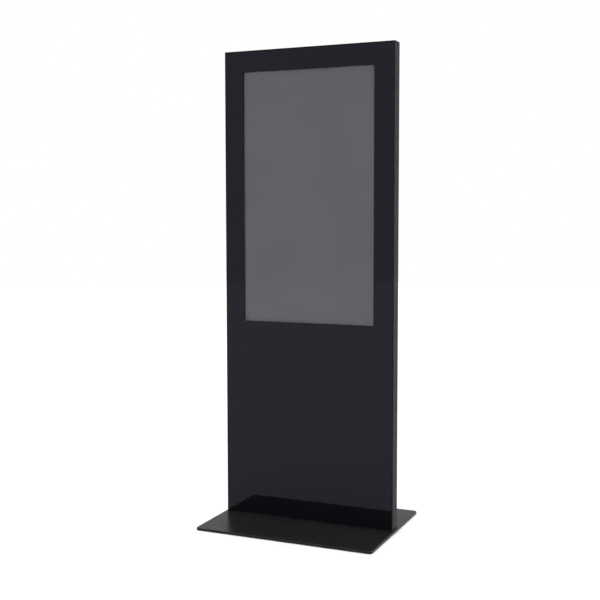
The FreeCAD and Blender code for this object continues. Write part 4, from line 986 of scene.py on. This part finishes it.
@dataclass
class Electronics:
    """The tray with the media player, power supply and touch controller."""

    terminals: int = 7
    recess_inset: float = 14 * MM
    touch_lead: float = 4 * MM

    def touch_board(self) -> None:
        """The touch controller under the display."""
        board = CircuitBoard("touch_controller", seed=7)
        board.lay_board()
        board.chip(0, -1, 14, 14)
        board.header(0, 12, 16, 2.4, 2.6)
        board.block(-40, 0, (10, 14, 7), NICKEL, 0.5)
        board.scatter(18, (-30, -10), (-12, 6))
        board.scatter(18, (12, -10), (32, 6))
        board.piece.done("circuit_board", "touch_controller")

    def touch_plug(self) -> None:
        """Plug of the touch lead: a housing in the board's socket and a tapered sleeve over the lead's end."""
        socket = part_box("touch_controller")[0].x
        low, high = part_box("usb_lead")
        y, z = low.y + self.touch_lead / 2, high.z - self.touch_lead / 2
        neck = high.x + 5 * MM
        piece = Piece("touch_plug")
        half_y, half_z = 3.2 * MM, 4 * MM
        housing = bar((neck, y - half_y, z - half_z), (socket + MM, y + half_y, z + half_z), 0.6 * MM)
        piece.put(housing, BLACK_NYLON)
        lead = self.touch_lead / 2 / MM
        long = (neck - high.x) / MM + 6
        sleeve = turned([(0, 0), (lead + 0.3, 0), (lead + 0.3, 1), (lead + 1.1, long), (0, long)], 24)
        piece.put(sleeve, BLACK_PVC, Aim.RIGHT.at(neck - long * MM, y, z))
        piece.done("cable_black")

    def supply_terminals(self) -> None:
        """Screw terminals and lamp in the power supply's recess."""
        low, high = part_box("power_supply")
        piece = Piece("supply_terminals")
        first = low.x + self.recess_inset
        pitch = (high.x - low.x - 2 * self.recess_inset) / self.terminals
        face = low.y + 19 * MM
        z = low.z + 9 * MM
        for step in range(self.terminals + 1):
            x = first + step * pitch
            wall = bar((x - 0.6 * MM, face, z - 5 * MM), (x + 0.6 * MM, face + 3 * MM, z + 5 * MM), 0.3 * MM)
            piece.put(wall, BLACK_NYLON)
        for step in range(self.terminals):
            x = first + (step + 0.5) * pitch
            plate = bar((x - pitch * 0.36, face, z - 4.4 * MM),
                        (x + pitch * 0.36, face + 0.8 * MM, z + 4.4 * MM), 0.2 * MM)
            piece.put(plate, NICKEL)
            piece.put(pan_screw(3.4, 2.0), ZINC, Aim.REAR.at(x, face + 0.8 * MM, z))
        lamp = turned([(0, 0), (1.5, 0), (1.5, 1.4), (1.1, 2.1), (0, 2.5)], 20)
        piece.put(lamp, LAMP, Aim.REAR.at(high.x - 9 * MM, face - 2 * MM, z))
        piece.done("zinc_screw")

    def build(self) -> None:
        """Dress the tray and its units, and make the small parts."""
        dress(GALVANISED, "electronics_tray")
        dress(ZINC, "tray_screws", "earth_stud")
        dress(ANODISED, "media_player")
        dress(BLACK_PC, "power_button")
        dress(ROLLED_ALUMINIUM, "power_supply")
        self.touch_board()
        self.touch_plug()
        self.supply_terminals()


@dataclass
class Cooling:
    """The three fans behind the upper vent slots."""

    blades: int = 7
    chord: float = math.radians(44)
    sweep: float = math.radians(16)
    blade_thick: float = 0.8 * MM

    def rotor(self, count: int) -> None:
        """One rotor: a hub cup with swept, pitched blades.

        Args:
            count: Number of the fan, from 1.
        """
        low, high, x, z = measured(f"fan_rotor_{count}")
        tip = (high.x - low.x) / 2 / MM - 0.2
        hub = tip * 0.58
        root = hub * 0.95
        deep = (high.y - low.y) / MM
        piece = Piece(f"fan_rotor_{count}_moulded", f"fan_{count}")
        cup = turned([(2.6, 0), (hub, 0), (hub, deep * 0.78), (hub * 0.96, deep * 0.92), (hub * 0.86, deep),
                      (hub * 0.3, deep), (hub * 0.26, deep - 0.4), (0, deep - 0.4)], 48)
        piece.put(cup, BLACK_NYLON, Aim.REAR.at(x, low.y, z))
        for step in range(self.blades):
            blade = bmesh.new()
            bmesh.ops.create_grid(blade, x_segments=6, y_segments=8, size=0.5)
            for vert in blade.verts:
                out, along = vert.co.x + 0.5, vert.co.y
                radius = (root + (tip - root) * out) * MM
                angle = self.sweep * out + along * self.chord * (1.0 - 0.15 * out)
                height = deep * (0.46 + along * 0.8) * MM
                vert.co = Vector((radius * math.cos(angle), radius * math.sin(angle), height))
            bmesh.ops.solidify(blade, geom=blade.faces[:], thickness=self.blade_thick)
            turn = Matrix.Rotation(math.tau * step / self.blades, 4, "Z")
            piece.put(blade, BLACK_NYLON, Aim.REAR.at(x, low.y, z) @ turn)
        piece.done("black_plastic", f"fan_rotor_{count}")

    def build(self) -> None:
        """Dress the fan housings and bracket, and make the rotors."""
        dress(BLACK_NYLON, "fan_frames")
        dress(GALVANISED, "fan_bracket")
        dress(ZINC, "fan_screws")
        for count in (1, 2, 3):
            self.rotor(count)


@dataclass
class ServiceDoor:
    """The rear door with its hinges, locks, gasket and filter mat."""

    mat_cell: float = 5 * MM
    mat_loft: float = 0.9 * MM
    mat_seed: int = 11
    strip: float = 6 * MM
    rivet_radius: float = 3.2
    rivet_rows: int = 3

    def filter_mat(self) -> None:
        """Soft mat of uneven thickness between the door's rails."""
        low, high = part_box("intake_filter")
        part = bar(low, high)
        for axis in ("x", "z"):
            long = [edge for edge in part.edges
                    if abs(getattr(edge.verts[0].co, axis) - getattr(edge.verts[1].co, axis)) > self.mat_cell]
            cuts = int((getattr(high, axis) - getattr(low, axis)) / self.mat_cell)
            bmesh.ops.subdivide_edges(part, edges=long, cuts=cuts, use_grid_fill=True)
        draw = random.Random(self.mat_seed)
        middle = (low.y + high.y) / 2
        for vert in part.verts:
            inward = self.mat_loft * draw.random()
            vert.co.y += inward if vert.co.y < middle else -inward
        bmesh.ops.smooth_vert(part, verts=part.verts, factor=0.4, use_axis_y=True)
        piece = Piece("filter_mat", "door")
        piece.put(part, FILTER)
        piece.done("filter_mat", "intake_filter")

    def gasket(self) -> None:
        """Foam strips with a rounded back on the frame's rear ledges."""
        low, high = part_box("door_gasket")
        piece = Piece("gasket_strips")
        left, right, top = low.x + self.strip, high.x - self.strip, high.z - self.strip
        for x0, x1, z0 in ((low.x, left, low.z), (right, high.x, low.z), (left, right, top)):
            strip = bar((x0, low.y, z0), (x1, high.y, high.z))
            crown = [edge for edge in strip.edges
                     if all(vert.co.y > high.y - TOUCHING for vert in edge.verts)]
            round_edges(strip, crown, 1.6 * MM, 4)
            piece.put(strip, GASKET_FOAM)
        piece.done("foam", "door_gasket")

    def rivets(self) -> None:
        """Domed blind rivets in the hinge leaves, with the pulled stem in their middles."""
        low, high, x, _ = measured("hinge_rivets")
        piece = Piece("hinge_blind_rivets", "door")
        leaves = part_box("hinge_door_barrels")
        pitch = (leaves[1].z - leaves[0].z - 28 * MM) / (self.rivet_rows - 1)
        radius = self.rivet_radius
        tall = (high.y - low.y) / MM
        for row in range(self.rivet_rows):
            for offset in (7.7 * MM, 20.7 * MM):
                head = turned([(0, 0), (radius, 0), (radius, 0.25), (radius * 0.8, tall * 0.75),
                               (radius * 0.5, tall), (radius * 0.34, tall), (radius * 0.3, tall * 0.7),
                               (0, tall * 0.7)], 24)
                piece.put(head, BLACK_STEEL, Aim.REAR.at(x, low.y, leaves[0].z + row * pitch + offset))
        piece.done("black_screw", "hinge_rivets")

    def build(self) -> None:
        """Dress the door's sheet, hinges and locks, and make its soft parts and rivets."""
        dress(SHEET_COAT, "rear_door")
        dress(SHEET_COAT, "hinge_frame_barrels", "hinge_door_barrels")
        dress(ZINC, "hinge_pins", "lock_nuts", "lock_cam_lower", "lock_cam_upper")
        dress(NICKEL, "lock_bodies", "lock_plug_lower", "lock_plug_upper")
        self.filter_mat()
        self.gasket()
        self.rivets()


@dataclass
class ConnectionPanel:
    """The fixed panel under the door, with the mains inlet, its switch and fuse, and the network socket."""

    pin_grow: float = 0.04 * MM
    contacts: int = 8
    tilt: float = math.radians(8)
    dish: float = math.radians(4)

    def inlet_pins(self) -> None:
        """Nickel-plated blades of the mains socket, with chamfered ends."""
        low, high, x, _ = measured("power_inlet")
        half_x, half_z = MM + self.pin_grow, 2 * MM + self.pin_grow
        start, end = high.y - 17 * MM, high.y - 4.5 * MM
        piece = Piece("inlet_pins")
        for dx, dz in ((-7, -2), (7, -2), (0, 2)):
            pin_x, pin_z = x + dx * MM, low.z + (19 + dz) * MM
            blade = bar((pin_x - half_x, start, pin_z - half_z), (pin_x + half_x, end, pin_z + half_z),
                        0.35 * MM, 3)
            piece.put(blade, NICKEL)
        piece.done("lock_metal")

    def rocker(self) -> None:
        """The mains switch: a rocker with two dished faces, a bar mark and a ring mark."""
        low, high, x, _ = measured("rocker_switch")
        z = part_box("power_inlet")[0].z + 53.5 * MM
        half_x, half_z = (high.x - low.x) / 2, 7.0 * MM
        axis_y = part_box("rear_door")[1].y - 1.0 * MM
        place = Matrix.Translation((x, axis_y, z)) @ Matrix.Rotation(self.tilt, 4, "X")
        crest, rim, foot = 4.6 * MM, 5.3 * MM, -2.0 * MM
        piece = Piece("rocker_cap", "rocker")
        part = bmesh.new()
        outline = [(foot, -half_z), (rim, -half_z), (rim - 0.45 * MM, -half_z * 0.5), (crest, 0),
                   (rim - 0.45 * MM, half_z * 0.5), (rim, half_z), (foot, half_z)]
        verts = [part.verts.new((-half_x, y, up)) for y, up in outline]
        face = part.faces.new(verts)
        grown = bmesh.ops.extrude_face_region(part, geom=[face])
        moved = [item for item in grown["geom"] if isinstance(item, bmesh.types.BMVert)]
        bmesh.ops.translate(part, vec=(2 * half_x, 0, 0), verts=moved)
        bmesh.ops.recalc_face_normals(part, faces=part.faces)
        rims = [edge for edge in part.edges if edge.calc_face_angle(0.0) > math.radians(40)]
        round_edges(part, rims, 0.4 * MM)
        piece.put(part, BLACK_PC, place)
        mark = bar((-0.35 * MM, 0, -1.8 * MM), (0.35 * MM, 0.16 * MM, 1.8 * MM), 0.05 * MM, 1)
        hoop = turned([(1.1, 0), (1.6, 0), (1.6, 0.16), (1.1, 0.16), (1.1, 0)], 28)
        for side, part, aim in ((1, mark, Matrix.Identity(4)), (-1, hoop, Aim.REAR.at(0, 0, 0))):
            seat = Matrix.Translation((0, rim - 0.52 * MM, side * half_z * 0.55))
            piece.put(part, WHITE_MARK, place @ seat @ Matrix.Rotation(-side * self.dish, 4, "X") @ aim)
        piece.done("red_plastic", "rocker_switch")

    def network_contacts(self) -> None:
        """Sprung gold wires across the network socket."""
        high, x, z = measured("lan_coupler")[1:]
        piece = Piece("network_contacts")
        pitch = 1.02 * MM
        root = high.y - 1.8 * MM
        lean = Matrix.Translation((0, root, z + 3.8 * MM)) @ Matrix.Rotation(
            math.radians(18), 4, "X") @ Matrix.Translation((0, -root, 0))
        for step in range(self.contacts):
            across = x + (step - (self.contacts - 1) / 2) * pitch
            wire = bar((across - 0.18 * MM, high.y - 9.5 * MM, -0.18 * MM),
                       (across + 0.18 * MM, root, 0.18 * MM), 0.06 * MM, 1)
            piece.put(wire, GOLD, lean)
        piece.done("lock_metal")

    def panel_screws(self) -> None:
        """Black button-head screws with hexagon sockets, on thin washers."""
        low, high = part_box("panel_screws")
        radius, washer = 4.2, 0.4
        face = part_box("rear_panel")[1].y
        piece = Piece("panel_button_screws")
        for x in (low.x + radius * MM, 0.0, high.x - radius * MM):
            for z in (low.z + radius * MM, high.z - radius * MM):
                piece.put(disc(radius * 1.15, washer), BLACK_STEEL, Aim.REAR.at(x, face, z))
                piece.put(button_screw(radius, 2.1), BLACK_STEEL, Aim.REAR.at(x, face + washer * MM, z))
        piece.done("black_screw", "panel_screws")

    def build(self) -> None:
        """Dress the panel and its sockets, and make pins, rocker, contacts and screws."""
        dress(SHEET_COAT, "rear_panel")
        dress(BLACK_NYLON, "power_inlet", "fuse_drawer", "lan_coupler")
        dress(FUSE_GLASS, "fuse")
        self.inlet_pins()
        self.rocker()
        self.network_contacts()
        self.panel_screws()


@dataclass
class Leads:
    """The leads clipped inside the cabinet."""

    def build(self) -> None:
        """Dress the leads and their clips."""
        dress(BLACK_PVC, "hdmi_lead", "usb_lead", "mains_lead", "supply_leads")
        dress(GREY_PVC, "lan_lead")
        dress(WHITE_NYLON, "cable_clips")


@dataclass
class Studio:
    """A white cove with soft, even light, and the camera."""

    floor_radius: float = 14.0
    right_of_middle: float = 0.8368
    before_glass: float = 1.916
    above_floor: float = 0.6509
    turn: float = 23.038
    dip: float = 4.243
    lens_mm: float = 60.09
    shift: tuple[float, float] = (-0.028, -0.015)
    room: float = 1.0
    overhead: float = 1.2
    overhead_spread: float = 4.0

    def floor(self) -> None:
        """White floor disc, far wider than the view."""
        part = bmesh.new()
        bmesh.ops.create_circle(part, cap_ends=True, radius=self.floor_radius, segments=96)
        data = bpy.data.meshes.new("studio_floor")
        part.to_mesh(data)
        part.free()
        disc = bpy.data.objects.new("studio_floor", data)
        paint = Moulded("white_studio_vinyl", "#f3f3f3", "#f6f6f6", (0.85, 0.95), grain_mm=30.0)
        data.materials.append(paint.material())
        bpy.context.scene.collection.objects.link(disc)

    def light(self) -> None:
        """White surroundings, and a broad lamp straight overhead that lifts the floor to white."""
        scene = bpy.context.scene
        scene.world = bpy.data.worlds.new("white_cove")
        scene.world.use_nodes = True
        tree = scene.world.node_tree
        feed(tree, tree.nodes["Background"], {"Color": (1.0, 1.0, 1.0, 1.0), "Strength": self.room})
        sky = bpy.data.lights.new("overhead_sun", "SUN")
        sky.energy = self.overhead
        sky.angle = math.radians(self.overhead_spread)
        lamp = bpy.data.objects.new("overhead_sun", sky)
        scene.collection.objects.link(lamp)

    def camera(self) -> None:
        """Camera to the right of the kiosk, turned back to it; distances are multiples of its height."""
        height = CAD_BOX[1].z - CAD_BOX[0].z
        data = bpy.data.cameras.new("camera")
        data.lens = self.lens_mm
        data.shift_x, data.shift_y = self.shift
        eye = bpy.data.objects.new("camera", data)
        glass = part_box("front_glass")[0].y
        eye.location = (self.right_of_middle * height, glass - self.before_glass * height,
                        self.above_floor * height)
        eye.rotation_euler = (math.radians(90 - self.dip), 0.0, math.radians(self.turn))
        bpy.context.scene.collection.objects.link(eye)
        bpy.context.scene.camera = eye

    def build(self) -> None:
        """Set the stage."""
        bpy.context.scene.view_settings.view_transform = "Standard"
        self.floor()
        self.light()
        self.camera()


def main() -> None:
    """Build every sub-assembly in order."""
    logging.basicConfig(level=logging.INFO, format="%(name)s %(message)s")
    for sub_assembly in (FloorPlate(), Cabinet(), Glazing(), DisplayModule(), Electronics(), Cooling(),
                         ServiceDoor(), ConnectionPanel(), Leads(), Studio()):
        LOG.info("sub-assembly %s", type(sub_assembly).__name__)
        sub_assembly.build()


if __name__ == "__main__":
    main()
